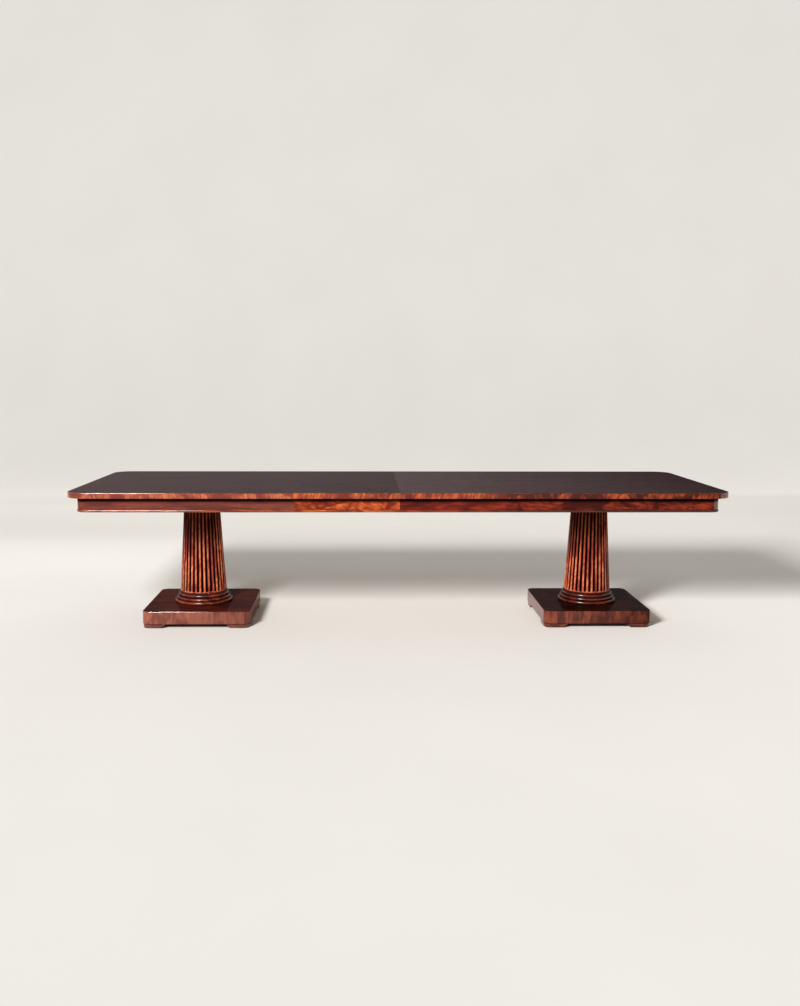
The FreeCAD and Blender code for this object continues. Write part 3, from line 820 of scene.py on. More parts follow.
def join_rows(draft: bmesh.types.BMesh, rows: Sequence[Sequence[bmesh.types.BMVert]], closed: bool) -> None:
    """Joins each row of points to the next one by faces.

    Args:
        draft: Mesh that takes the faces.
        rows: Rows with the same number of points.
        closed: Whether the last point of a row is joined to its first one.
    """
    for near, far in zip(rows, rows[1:]):
        for index in range(len(near) if closed else len(near) - 1):
            after = (index + 1) % len(near)
            draft.faces.new((near[index], near[after], far[after], far[index]))


def swept_bar(path: Sequence[PathPoint], profile: Sequence[Section]) -> bmesh.types.BMesh:
    """Sweeps a closed profile along an open path.

    Args:
        path: Points of the path.
        profile: Closed loop of points.

    Returns:
        The closed mesh.
    """
    draft = bmesh.new()
    rings = rings_on_path(draft, path, profile)
    join_rows(draft, rings, closed=True)
    draft.faces.new(rings[0])
    draft.faces.new(rings[-1])
    bmesh.ops.recalc_face_normals(draft, faces=draft.faces)
    return draft


def edged_slab(path: Sequence[PathPoint], profile: Sequence[Section]) -> bmesh.types.BMesh:
    """Makes a slab whose edge follows a path and whose far side is a straight seam.

    Args:
        path: Points of the outer edge, from one end of the seam to the other.
        profile: Points of the edge, from the bottom up.

    Returns:
        The closed mesh.
    """
    draft = bmesh.new()
    rings = rings_on_path(draft, path, profile)
    join_rows(draft, rings, closed=False)
    draft.faces.new([ring[0] for ring in rings])
    draft.faces.new([ring[-1] for ring in rings])
    draft.faces.new(rings[0] + rings[-1][::-1])
    bmesh.ops.recalc_face_normals(draft, faces=draft.faces)
    return draft


def revolved(profile: Sequence[Section], centre: tuple[float, float], steps: int) -> bmesh.types.BMesh:
    """Turns a profile about an upright axis.

    Args:
        profile: Points from the bottom of the axis to its top, with their radii as insets.
        centre: X and Y of the axis.
        steps: Parts of the full turn.

    Returns:
        The closed mesh.
    """
    draft = bmesh.new()
    glaze = draft.verts.layers.float.new(PAINTED_SHADE)
    rings = []
    for section in profile:
        ring = []
        for step in range(steps):
            angle = 2.0 * math.pi * step / steps
            x = centre[0] + section.inset * math.cos(angle)
            y = centre[1] + section.inset * math.sin(angle)
            vert = draft.verts.new(Vector((x, y, section.height)) * MM)
            vert[glaze] = section.glaze
            ring.append(vert)
        rings.append(ring)
    join_rows(draft, rings, closed=True)
    draft.faces.new(rings[0])
    draft.faces.new(rings[-1])
    bmesh.ops.recalc_face_normals(draft, faces=draft.faces)
    return draft


def eased_copy(node: str, ease: float) -> bmesh.types.BMesh:
    """Copies a CAD node, joins its triangles into faces and eases its sharp edges.

    Args:
        node: Name of the CAD node.
        ease: Width of the eased edges in millimetres, or 0 to leave them.

    Returns:
        The new mesh.
    """
    draft = bmesh.new()
    draft.from_mesh(bpy.data.objects[node].data)
    bmesh.ops.remove_doubles(draft, verts=draft.verts, dist=COPY_MERGE * MM)
    bmesh.ops.dissolve_limit(
        draft, angle_limit=math.radians(FLAT_ANGLE), verts=draft.verts, edges=draft.edges)
    if ease > 0.0:
        sharp = []
        for edge in draft.edges:
            if edge.is_manifold and edge.calc_face_angle() > math.radians(EASED_ANGLE):
                sharp.append(edge)
        bmesh.ops.bevel(
            draft, geom=sharp, offset=ease * MM, segments=2, profile=0.5, affect="EDGES", clamp_overlap=True)
    return draft


def place_piece(
    draft: bmesh.types.BMesh, name: str, body: str, nodes: Sequence[str],
    finishes: Sequence[bpy.types.Material],
) -> None:
    """Makes a piece of the table from a mesh, with smooth shading that keeps its sharp edges.

    Args:
        draft: The mesh, which is used up.
        name: Name of the piece.
        body: Body that it rides on.
        nodes: CAD nodes that it stands for.
        finishes: Materials in the order of the faces' numbers.
    """
    mesh = bpy.data.meshes.new(name)
    for face in draft.faces:
        face.smooth = True
    draft.to_mesh(mesh)
    draft.free()
    for finish in finishes:
        mesh.materials.append(finish)
    mesh.set_sharp_from_angle(angle=math.radians(SHARP_ANGLE))
    piece = bpy.data.objects.new(name, mesh)
    bpy.context.scene.collection.objects.link(piece)
    weighted = piece.modifiers.new("even_shading", "WEIGHTED_NORMAL")
    weighted.keep_sharp = True
    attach(piece, body)
    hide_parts(*nodes)
    LOG.info("%s: %d faces on %s", name, len(mesh.polygons), body)


def dress_copy(node: str, body: str, finish: bpy.types.Material, ease: float) -> None:
    """Makes a piece of the table from a copy of one CAD node.

    Args:
        node: Name of the node.
        body: Body that it rides on.
        finish: Material of the piece.
        ease: Width of its eased edges in millimetres.
    """
    draft = eased_copy(node, ease)
    place_piece(draft, f"{node}_dressed", body, [node], [finish])


def open_tree(name: str, kinds: dict[str, str]) -> tuple[bpy.types.NodeTree, bpy.types.NodeOutputs]:
    """Starts a Geometry Nodes tree with named inputs.

    Args:
        name: Name of the tree.
        kinds: Socket type of each input.

    Returns:
        The tree, and the sockets that hand on its inputs.
    """
    tree = bpy.data.node_groups.new(name, "GeometryNodeTree")
    for label, kind in kinds.items():
        tree.interface.new_socket(label, in_out="INPUT", socket_type=kind)
    tree.interface.new_socket("Geometry", in_out="OUTPUT", socket_type="NodeSocketGeometry")
    return tree, add_node(tree, "NodeGroupInput").outputs


def close_tree(tree: bpy.types.NodeTree, shape: bpy.types.NodeSocket, finish: bpy.types.NodeSocket) -> None:
    """Ends a tree with real geometry that has its finish.

    Args:
        tree: The tree.
        shape: Socket with the geometry.
        finish: Socket with the material.
    """
    real = add_node(tree, "GeometryNodeRealizeInstances", {"Geometry": shape})
    dressed = add_node(tree, "GeometryNodeSetMaterial", {"Geometry": real.outputs[0], "Material": finish})
    add_node(tree, "NodeGroupOutput", {"Geometry": dressed.outputs[0]})


def grown(
    tree: bpy.types.NodeTree, values: dict[str, object], points: Sequence[Vector] = (),
    edges: Sequence[tuple[int, int]] = (),
) -> bmesh.types.BMesh:
    """Runs a Geometry Nodes tree once, and keeps its result as a plain mesh.

    Args:
        tree: The tree.
        values: Value of each named input.
        points: Points that the tree starts from, in metres.
        edges: Numbers of the two points of each edge between them.

    Returns:
        The mesh, with its faces turned outwards.
    """
    start = bpy.data.meshes.new("start")
    start.from_pydata(points, edges, [])
    host = bpy.data.objects.new("host", start)
    bpy.context.scene.collection.objects.link(host)
    growth = host.modifiers.new("growth", "NODES")
    growth.node_group = tree
    for item in tree.interface.items_tree:
        if item.item_type == "SOCKET" and item.in_out == "INPUT" and item.name in values:
            growth[item.identifier] = values[item.name]
    evaluated = host.evaluated_get(bpy.context.evaluated_depsgraph_get())
    plain = bpy.data.meshes.new_from_object(evaluated)
    host.modifiers.remove(growth)
    bpy.data.objects.remove(host)
    bpy.data.meshes.remove(start)
    draft = bmesh.new()
    draft.from_mesh(plain)
    bpy.data.meshes.remove(plain)
    bmesh.ops.remove_doubles(draft, verts=draft.verts, dist=GROWN_MERGE * MM)
    bmesh.ops.holes_fill(draft, edges=[edge for edge in draft.edges if edge.is_boundary], sides=0)
    bmesh.ops.recalc_face_normals(draft, faces=draft.faces)
    return draft


def on_right_corner(face: bmesh.types.BMFace) -> bool:
    """Tells whether a face lies on one of the rounded corners of the right end."""
    return CORNER_TURN[0] < face.normal.x < CORNER_TURN[1]


def number_faces(draft: bmesh.types.BMesh, seams: Sequence[float]) -> None:
    """Gives each face of a board its kind.

    Args:
        draft: The board's mesh.
        seams: X of the board's seams in millimetres.
    """
    for face in draft.faces:
        place = face.calc_center_median().x
        if face.normal.z > LEVEL:
            face.material_index = BoardFace.TOP
        # Arrises and the right end's rounded corners take the finish with painted highlights and sheen.
        elif face.normal.z > TILTED or on_right_corner(face):
            face.material_index = BoardFace.RUBBED
        elif face.normal.z < -LEVEL or any(abs(place - seam * MM) < SEAM_SLACK * MM for seam in seams):
            face.material_index = BoardFace.BARE
        else:
            face.material_index = BoardFace.EDGE


def spans(node: str) -> tuple[Vector, Vector]:
    """Corners of a CAD node's box in millimetres.

    Args:
        node: Name of the node.

    Returns:
        Lowest and highest corner.
    """
    low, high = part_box(node)
    return low / MM, high / MM


def half_ends(side: Side) -> tuple[float, float]:
    """X of one half's seam, closed up to a hair, and X of its far end."""
    low, high = spans(f"{side.value}_top_panel")
    return (low.x - SEAM_REACH, high.x) if side is Side.RIGHT else (high.x + SEAM_REACH, low.x)


def leaf_ends(leaf: Leaf) -> tuple[float, float]:
    """X of both seams of one leaf, closed up to a hair."""
    low, high = spans(f"{leaf.value}_panel")
    return low.x - SEAM_REACH, high.x + SEAM_REACH


@dataclass
class TableTop:
    """The four boards of the top, with rounded outer corners and small arrises."""

    finishes: Finishes
    corner_radius: float = 95.0
    arris: float = 3.0
    corner_steps: int = 20
    arris_steps: int = 4

    def build(self) -> None:
        """Builds both halves and both leaves."""
        for side in Side:
            self.half(side)
        for leaf in Leaf:
            self.leaf(leaf)

    def dress(self, body: str) -> list[bpy.types.Material]:
        """Finishes of one board, in the order of the kinds of its faces."""
        finishes = self.finishes
        return [finishes.top[body], finishes.edge[body], finishes.bare, finishes.rubbed[body]]

    def half(self, side: Side) -> None:
        """Builds the half of one side.

        Args:
            side: The side.
        """
        node = f"{side.value}_top_panel"
        low, high = spans(node)
        seam, end = half_ends(side)
        path = half_outline(seam, end, high.y, self.corner_radius, self.corner_steps)
        ease = self.arris
        lower = rounded_corner((ease, low.z + ease), ease, start=180.0, steps=self.arris_steps)
        upper = rounded_corner((ease, high.z - ease), ease, start=90.0, steps=self.arris_steps)
        draft = edged_slab(path, lower[::-1] + upper[::-1])
        number_faces(draft, [seam])
        place_piece(
            draft, f"{side.value}_top_board", side.body, [node], self.dress(side.body))

    def leaf(self, leaf: Leaf) -> None:
        """Builds one leaf.

        Args:
            leaf: The leaf.
        """
        node = f"{leaf.value}_panel"
        low, high = spans(node)
        ease = self.arris
        loop = []
        corners = (
            (low.y, low.z, 180.0), (high.y, low.z, 270.0), (high.y, high.z, 0.0), (low.y, high.z, 90.0))
        for y, z, start in corners:
            centre = (y + ease if y < 0.0 else y - ease, z + ease if z == low.z else z - ease)
            loop.extend(rounded_corner(centre, ease, start, self.arris_steps))
        ends = leaf_ends(leaf)
        draft = swept_bar(straight_line(*ends), loop)
        number_faces(draft, ends)
        place_piece(draft, f"{leaf.value}_board", leaf.value, [node], self.dress(leaf.value))


@dataclass
class Apron:
    """Apron boards with the half-round bead along their lower edge."""

    finishes: Finishes
    inset: float = 47.0
    thickness: float = 20.0
    bead_inset: float = 43.0
    bead_round: float = 6.5
    corner_radius: float = 95.0
    ease: float = 0.6
    # Depths below the top where the painted shade starts and where it is full.
    shade_start: float = 24.0
    shade_full: float = 14.4
    corner_steps: int = 20
    round_steps: int = 6

    def build(self) -> None:
        """Builds the aprons and beads of both halves and both leaves."""
        for side in Side:
            self.half(side)
        for leaf in Leaf:
            self.leaf(leaf)

    def board_loop(self, outer: float, inner: float, low: float, high: float) -> list[Section]:
        """Profile of a board with eased outer edges, and shade painted below the top.

        Args:
            outer: Inset of the face.
            inner: Inset of the back.
            low: Height of the lower edge.
            high: Height of the upper edge.

        Returns:
            Closed loop of points.
        """
        ease = self.ease if inner > outer else -self.ease
        rise = self.ease
        # The upper points carry painted shade, below the top's overhang.
        return [
            Section(inner, low), Section(outer + ease, low), Section(outer, low + rise),
            Section(outer, high - self.shade_start), Section(outer, high - self.shade_full, 1.0),
            Section(outer, high - rise, 1.0), Section(outer + ease, high, 1.0), Section(inner, high),
        ]

    def bead_tree(self) -> bpy.types.NodeTree:
        """Builds the tree that runs the bead along lines of edges, with its round nose on their right.

        Returns:
            The tree.
        """
        tree, given = open_tree("bead_run", {
            "Geometry": "NodeSocketGeometry", "Depth": "NodeSocketFloat", "Height": "NodeSocketFloat",
            "Nose Round": "NodeSocketFloat", "Finish": "NodeSocketMaterial",
        })
        line = add_node(tree, "GeometryNodeMeshToCurve", {"Mesh": given["Geometry"]})
        level = add_node(tree, "GeometryNodeSetCurveNormal", {"Curve": line.outputs[0]}, mode="Z_UP")
        along = add_node(tree, "GeometryNodeSplineParameter")
        measured = add_node(
            tree, "GeometryNodeStoreNamedAttribute",
            {"Geometry": level.outputs[0], "Name": RUN, "Value": along.outputs["Length"]},
            data_type="FLOAT", domain="POINT")
        box = add_node(
            tree, "GeometryNodeCurvePrimitiveQuadrilateral",
            {"Width": given["Depth"], "Height": given["Height"]})
        place = add_node(tree, "GeometryNodeInputPosition")
        corner = add_node(tree, "ShaderNodeSeparateXYZ", {0: place.outputs[0]})
        outer = add_node(tree, "ShaderNodeMath", {0: corner.outputs[0], 1: 0.0}, operation="GREATER_THAN")
        nose = add_node(
            tree, "ShaderNodeMath", {0: outer.outputs[0], 1: given["Nose Round"]}, operation="MULTIPLY")
        rounded = add_node(
            tree, "GeometryNodeFilletCurve",
            {"Curve": box.outputs[0], "Radius": nose.outputs[0], "Count": self.round_steps}, mode="POLY")
        bar = add_node(
            tree, "GeometryNodeCurveToMesh",
            {"Curve": measured.outputs[0], "Profile Curve": rounded.outputs[0], "Fill Caps": True})
        run = add_node(tree, "GeometryNodeInputNamedAttribute", {"Name": RUN}, data_type="FLOAT")
        spot = add_node(tree, "GeometryNodeInputPosition")
        split = add_node(tree, "ShaderNodeSeparateXYZ", {0: spot.outputs[0]})
        laid = add_node(tree, "ShaderNodeCombineXYZ", {0: run.outputs[0], 2: split.outputs[2]})
        veneered = add_node(
            tree, "GeometryNodeStoreNamedAttribute",
            {"Geometry": bar.outputs[0], "Name": VENEER_PLACE, "Value": laid.outputs[0]},
            data_type="FLOAT_VECTOR", domain="POINT")
        close_tree(tree, veneered.outputs[0], given["Finish"])
        return tree

    def bead(self, lines: Sequence[Sequence[Vector]], name: str, body: str, node: str, depth: float) -> None:
        """Builds the bead of one body.

        Args:
            lines: Points of each line through the middle of the bead.
            name: Name of the piece.
            body: Body that it rides on.
            node: CAD node that it stands for.
            depth: Depth of the bead, from its nose to its back.
        """
        points = []
        edges = []
        for line in lines:
            first = len(points)
            points.extend(point * MM for point in line)
            edges.extend((first + step, first + step + 1) for step in range(len(line) - 1))
        low, high = spans(node)
        finish = self.finishes.bead[body]
        values = {
            "Depth": depth * MM, "Height": (high.z - low.z) * MM, "Nose Round": self.bead_round * MM,
            "Finish": finish,
        }
        draft = grown(self.bead_tree(), values, points, edges)
        place_piece(draft, name, body, [node], [finish])

    def half(self, side: Side) -> None:
        """Builds the apron and bead round one half.

        Args:
            side: The side.
        """
        word = side.value
        apron_low, apron_high = spans(f"{word}_apron_front")
        bead_low, bead_high = spans(f"{word}_apron_bead")
        level = (bead_low.z + bead_high.z) / 2.0
        seam, end = half_ends(side)
        half_width = spans(f"{word}_top_panel")[1].y
        path = half_outline(seam, end, half_width, self.corner_radius, self.corner_steps)
        back = self.inset + self.thickness
        draft = swept_bar(path, self.board_loop(self.inset, back, apron_low.z, apron_high.z))
        nodes = [f"{word}_apron_front", f"{word}_apron_back", f"{word}_apron_end", f"{word}_apron_corners"]
        # The right end's rounded corners take the finish with a painted sheen.
        for face in draft.faces:
            face.material_index = ApronFace.CORNER if on_right_corner(face) else ApronFace.BOARD
        finish = [self.finishes.apron[side.body], self.finishes.apron_corner[side.body]]
        place_piece(draft, f"{word}_apron_band", side.body, nodes, finish)
        middle = (self.bead_inset + back) / 2.0
        line = []
        for point in path if side is Side.RIGHT else path[::-1]:
            line.append(Vector((point.x - middle * point.out_x, point.y - middle * point.out_y, level)))
        self.bead([line], f"{word}_bead", side.body, f"{word}_apron_bead", back - self.bead_inset)

    def leaf(self, leaf: Leaf) -> None:
        """Builds the two aprons and the two beads of one leaf.

        Args:
            leaf: The leaf.
        """
        word = leaf.value
        first, last = leaf_ends(leaf)
        line = straight_line(first, last)
        beads_low, beads_high = spans(f"{word}_beads")
        level = (beads_low.z + beads_high.z) / 2.0
        depth = self.inset + self.thickness - self.bead_inset
        lines = []
        for row in Row:
            node = f"{word}_apron_{row.word}"
            board_low, board_high = spans(node)
            face, back = board_low.y, board_high.y
            if row is Row.BACK:
                face, back = back, face
            draft = swept_bar(line, self.board_loop(face, back, board_low.z, board_high.z))
            finish = [self.finishes.apron[word]]
            place_piece(draft, f"{word}_{row.word}_apron", word, [node], finish)
            middle = row.value * (beads_high.y - depth / 2.0)
            ends = (first, last) if row is Row.FRONT else (last, first)
            lines.append([Vector((x, middle, level)) for x in ends])
        self.bead(lines, f"{word}_bead_pair", word, f"{word}_beads", depth)


@dataclass
class Pedestal:
    """Column, turned ring, plinth, feet and fixings of one half."""

    finishes: Finishes
    side: Side
    foot_radius: float = 127.0
    head_radius: float = 94.0
    collar_height: float = 15.0
    collar_radius: float = 98.0
    collar_ease: float = 1.0
    flutes: int = 32
    flute_parts: int = 20
    rows: int = 46
    land_share: float = 0.3
    depth_share: float = 0.045
    end_margin: float = 1.0
    torus_seat: float = 150.0
    torus_bulge: float = 9.0
    torus_height: float = 19.0
    reed_seat: float = 140.0
    reed_bulge: float = 7.0
    reed_height: float = 16.0
    fillet_radius: float = 131.0
    fillet_height: float = 2.0
    astragal_seat: float = 130.0
    astragal_bulge: float = 8.0
    astragal_height: float = 17.0
    # Painted shade: its amount at the seat under the column, and the height of the plinth's lower arris that
    # carries it.
    seat_shade: float = 0.6
    plinth_arris: float = 6.0
    plinth_top_depth: float = 1.0
    foot_ease: float = 0.8
    glide_ease: float = 0.3
    fixing_ease: float = 0.4
    platform_ease: float = 1.0
    arc_steps: int = 14
    turn_steps: int = 128

    def build(self) -> None:
        """Builds each piece of the pedestal."""
        self.shaft()
        self.ring()
        self.plinth()
        finishes = self.finishes
        copies = (
            ("feet", "mahogany_plinth", finishes.foot[self.side], self.foot_ease),
            ("glides", "nylon_glide", finishes.nylon, self.glide_ease),
            ("tie_rod", "steel_fixing", finishes.fixing, self.fixing_ease),
            ("rod_nuts", "steel_fixing", finishes.fixing, self.fixing_ease),
            ("platform", "maple_frame", finishes.maple, self.platform_ease),
        )
        for kind, slot, finish, ease in copies:
            dress_copy(f"{self.side.value}_{kind}", self.side.body, finish, ease)

    def shaft(self) -> None:
        """Builds the fluted column with Geometry Nodes, and the collar on top of it."""
        node = f"{self.side.value}_column"
        low, high = spans(node)
        axis = (low.x + high.x) / 2.0
        height = high.z - low.z - self.collar_height
        values = {
            "Place": Vector((axis, 0.0, low.z)) * MM, "Height": height * MM,
            "Foot Radius": self.foot_radius * MM, "Head Radius": self.head_radius * MM,
            "Flutes": self.flutes, "Land Share": self.land_share, "Depth Share": self.depth_share,
            "End Margin": self.end_margin * MM, "Finish": self.finishes.column,
        }
        draft = grown(self.flute_tree(), values)
        finish = [self.finishes.column]
        name = f"{self.side.value}_fluted_shaft"
        place_piece(draft, name, self.side.body, [node], finish)
        shoulder = high.z - self.collar_height
        ease = self.collar_ease
        loop = [
            Section(self.collar_radius - ease, shoulder), Section(self.collar_radius, shoulder + ease),
            Section(self.collar_radius, high.z - ease), Section(self.collar_radius - ease, high.z),
        ]
        draft = revolved(loop, (axis, 0.0), self.turn_steps)
        finish = [self.finishes.ring[self.side]]
        place_piece(draft, f"{self.side.value}_collar", self.side.body, [node], finish)

    def flute_tree(self) -> bpy.types.NodeTree:
        """Builds the tree that bends a grid into a tapered column with round-ended flutes.

        Returns:
            The tree.
        """
        tree, given = open_tree("fluted_column", {
            "Place": "NodeSocketVector", "Height": "NodeSocketFloat", "Foot Radius": "NodeSocketFloat",
            "Head Radius": "NodeSocketFloat", "Flutes": "NodeSocketInt", "Land Share": "NodeSocketFloat",
            "Depth Share": "NodeSocketFloat", "End Margin": "NodeSocketFloat", "Finish": "NodeSocketMaterial",
        })
        around = add_node(
            tree, "ShaderNodeMath", {0: given["Flutes"], 1: float(self.flute_parts), 2: 1.0},
            operation="MULTIPLY_ADD")
        grid = add_node(
            tree, "GeometryNodeMeshGrid",
            {"Size X": 1.0, "Size Y": 1.0, "Vertices X": around.outputs[0], "Vertices Y": self.rows})
        split = add_node(tree, "ShaderNodeSeparateXYZ", {0: grid.outputs["UV Map"]})
        rise = add_node(
            tree, "ShaderNodeMapRange", {"Value": split.outputs[1]}, interpolation_type="SMOOTHSTEP")
        radius = add_node(
            tree, "ShaderNodeMapRange",
            {"Value": rise.outputs[0], "To Min": given["Foot Radius"], "To Max": given["Head Radius"]})
        known = {
            "length": given["Height"], "flutes": given["Flutes"], "land": given["Land Share"],
            "depth share": given["Depth Share"], "margin": given["End Margin"], "share": split.outputs[0],
            "rise": rise.outputs[0], "radius": radius.outputs[0],
        }
        # Each sum has its name, its kind and its two terms, which are numbers or the names of earlier ones.
        sums = (
            ("height", "MULTIPLY", "rise", "length"),
            ("angle", "MULTIPLY", "share", 2.0 * math.pi),
            ("turns", "MULTIPLY", "share", "flutes"),
            ("part of turn", "FRACT", "turns", 0.0),
            ("phase", "SUBTRACT", "part of turn", 0.5),
            ("step", "DIVIDE", 2.0 * math.pi, "flutes"),
            ("pitch", "MULTIPLY", "step", "radius"),
            ("arc", "MULTIPLY", "phase", "pitch"),
            ("hollow", "SUBTRACT", 1.0, "land"),
            ("width", "MULTIPLY", "hollow", "pitch"),
            ("half", "MULTIPLY", "width", 0.5),
            ("depth", "MULTIPLY", "depth share", "radius"),
            ("half squared", "MULTIPLY", "half", "half"),
            ("depth squared", "MULTIPLY", "depth", "depth"),
            ("chord", "ADD", "half squared", "depth squared"),
            ("double depth", "MULTIPLY", "depth", 2.0),
            ("cove", "DIVIDE", "chord", "double depth"),
            ("stop", "ADD", "margin", "half"),
            ("under", "SUBTRACT", "stop", "height"),
            ("below", "MAXIMUM", "under", 0.0),
            ("last", "SUBTRACT", "length", "stop"),
            ("over", "SUBTRACT", "height", "last"),
            ("above", "MAXIMUM", "over", 0.0),
            ("past", "ADD", "below", "above"),
            ("arc squared", "MULTIPLY", "arc", "arc"),
            ("past squared", "MULTIPLY", "past", "past"),
            ("away", "ADD", "arc squared", "past squared"),
            ("cove squared", "MULTIPLY", "cove", "cove"),
            ("room", "SUBTRACT", "cove squared", "away"),
            ("open room", "MAXIMUM", "room", 0.0),
            ("reach", "SQRT", "open room", 0.0),
            ("floor", "SUBTRACT", "cove", "depth"),
            ("bare cut", "SUBTRACT", "reach", "floor"),
            ("cut", "MAXIMUM", "bare cut", 0.0),
            ("skin", "SUBTRACT", "radius", "cut"),
            ("cosine", "COSINE", "angle", 0.0),
            ("sine", "SINE", "angle", 0.0),
            ("x", "MULTIPLY", "skin", "cosine"),
            ("y", "MULTIPLY", "skin", "sine"),
            # How deep the cut is, kept as the amount of painted shade in the flutes.
            ("glaze", "DIVIDE", "cut", "depth"),
        )
        for name, operation, first, second in sums:
            terms = {0: known.get(first, first), 1: known.get(second, second)}
            known[name] = add_node(tree, "ShaderNodeMath", terms, operation=operation).outputs[0]
        point = add_node(tree, "ShaderNodeCombineXYZ", {0: known["x"], 1: known["y"], 2: known["height"]})
        placed = add_node(
            tree, "ShaderNodeVectorMath", {0: point.outputs[0], 1: given["Place"]}, operation="ADD")
        noted = add_node(
            tree, "GeometryNodeStoreNamedAttribute",
            {"Geometry": grid.outputs["Mesh"], "Name": PAINTED_SHADE, "Value": known["glaze"]},
            data_type="FLOAT", domain="POINT")
        bent = add_node(
            tree, "GeometryNodeSetPosition", {"Geometry": noted.outputs[0], "Position": placed.outputs[0]})
        close_tree(tree, bent.outputs[0], given["Finish"])
        return tree

    def ring(self) -> None:
        """Builds the turned ring: a torus, a reed, a fillet and an astragal below the column."""
        node = f"{self.side.value}_base_ring"
        low, high = spans(node)
        axis = (low.x + high.x) / 2.0
        torus_top = low.z + self.torus_height
        reed_top = torus_top + self.reed_height
        neck = reed_top + self.fillet_height
        loop = self.bulge(self.torus_seat, self.torus_bulge, low.z, self.torus_height)
        loop.extend(self.bulge(self.reed_seat, self.reed_bulge, torus_top, self.reed_height))
        # The fillet's creases and the seat under the column carry painted shade.
        loop.append(Section(self.fillet_radius, reed_top, 1.0))
        loop.append(Section(self.fillet_radius, neck, 1.0))
        loop.extend(self.bulge(self.astragal_seat, self.astragal_bulge, neck, self.astragal_height))
        loop.append(Section(self.astragal_seat, high.z, self.seat_shade))
        draft = revolved(loop, (axis, 0.0), self.turn_steps)
        finish = [self.finishes.ring[self.side]]
        place_piece(
            draft, f"{self.side.value}_turned_ring", self.side.body, [node], finish)

    def bulge(self, seat: float, swell: float, low: float, height: float) -> list[Section]:
        """Profile of one swelling moulding, with painted shade that thins out from the creases at its two
        edges.

        Args:
            seat: Radius at its two edges.
            swell: How far its middle stands out from them.
            low: Height of its lower edge.
            height: Its height.

        Returns:
            Points from the bottom up.
        """
        half = height / 2.0
        radius = (half * half + swell * swell) / (2.0 * swell)
        reach = math.asin(half / radius)
        points = []
        for step in range(self.arc_steps + 1):
            share = step / self.arc_steps
            angle = reach * (2.0 * share - 1.0)
            # Painted shade is strongest at the two creases.
            glaze = (1.0 - share) ** 3 + share ** 3
            run = seat + swell - radius + radius * math.cos(angle)
            points.append(Section(run, low + half + radius * math.sin(angle), glaze))
        return points

    def plinth(self) -> None:
        """Dresses the plinth: one veneer on its top, another round its sides, painted shade in its lower
        arris and a painted highlight on its upper arris.
        """
        node = f"{self.side.value}_plinth"
        draft = eased_copy(node, 0.0)
        low, high = spans(node)
        # Shade painted near black on the lower arris, in the gap above the feet.
        glaze = draft.verts.layers.float.new(PAINTED_SHADE)
        for vert in draft.verts:
            vert[glaze] = max(0.0, 1.0 - (vert.co.z / MM - low.z) / self.plinth_arris)
        for face in draft.faces:
            middle = face.calc_center_median()
            if middle.z > (high.z - self.plinth_top_depth) * MM:
                face.material_index = PlinthFace.TOP
            elif face.normal.z < -LEVEL:
                face.material_index = PlinthFace.BARE
            elif face.normal.z > TILTED:
                face.material_index = PlinthFace.ARRIS
            else:
                face.material_index = PlinthFace.SIDE
        finishes = [
            self.finishes.plinth_side[self.side], self.finishes.plinth_top[self.side], self.finishes.bare,
            self.finishes.plinth_arris[self.side],
        ]
        place_piece(draft, f"{node}_block", self.side.body, [node], finishes)


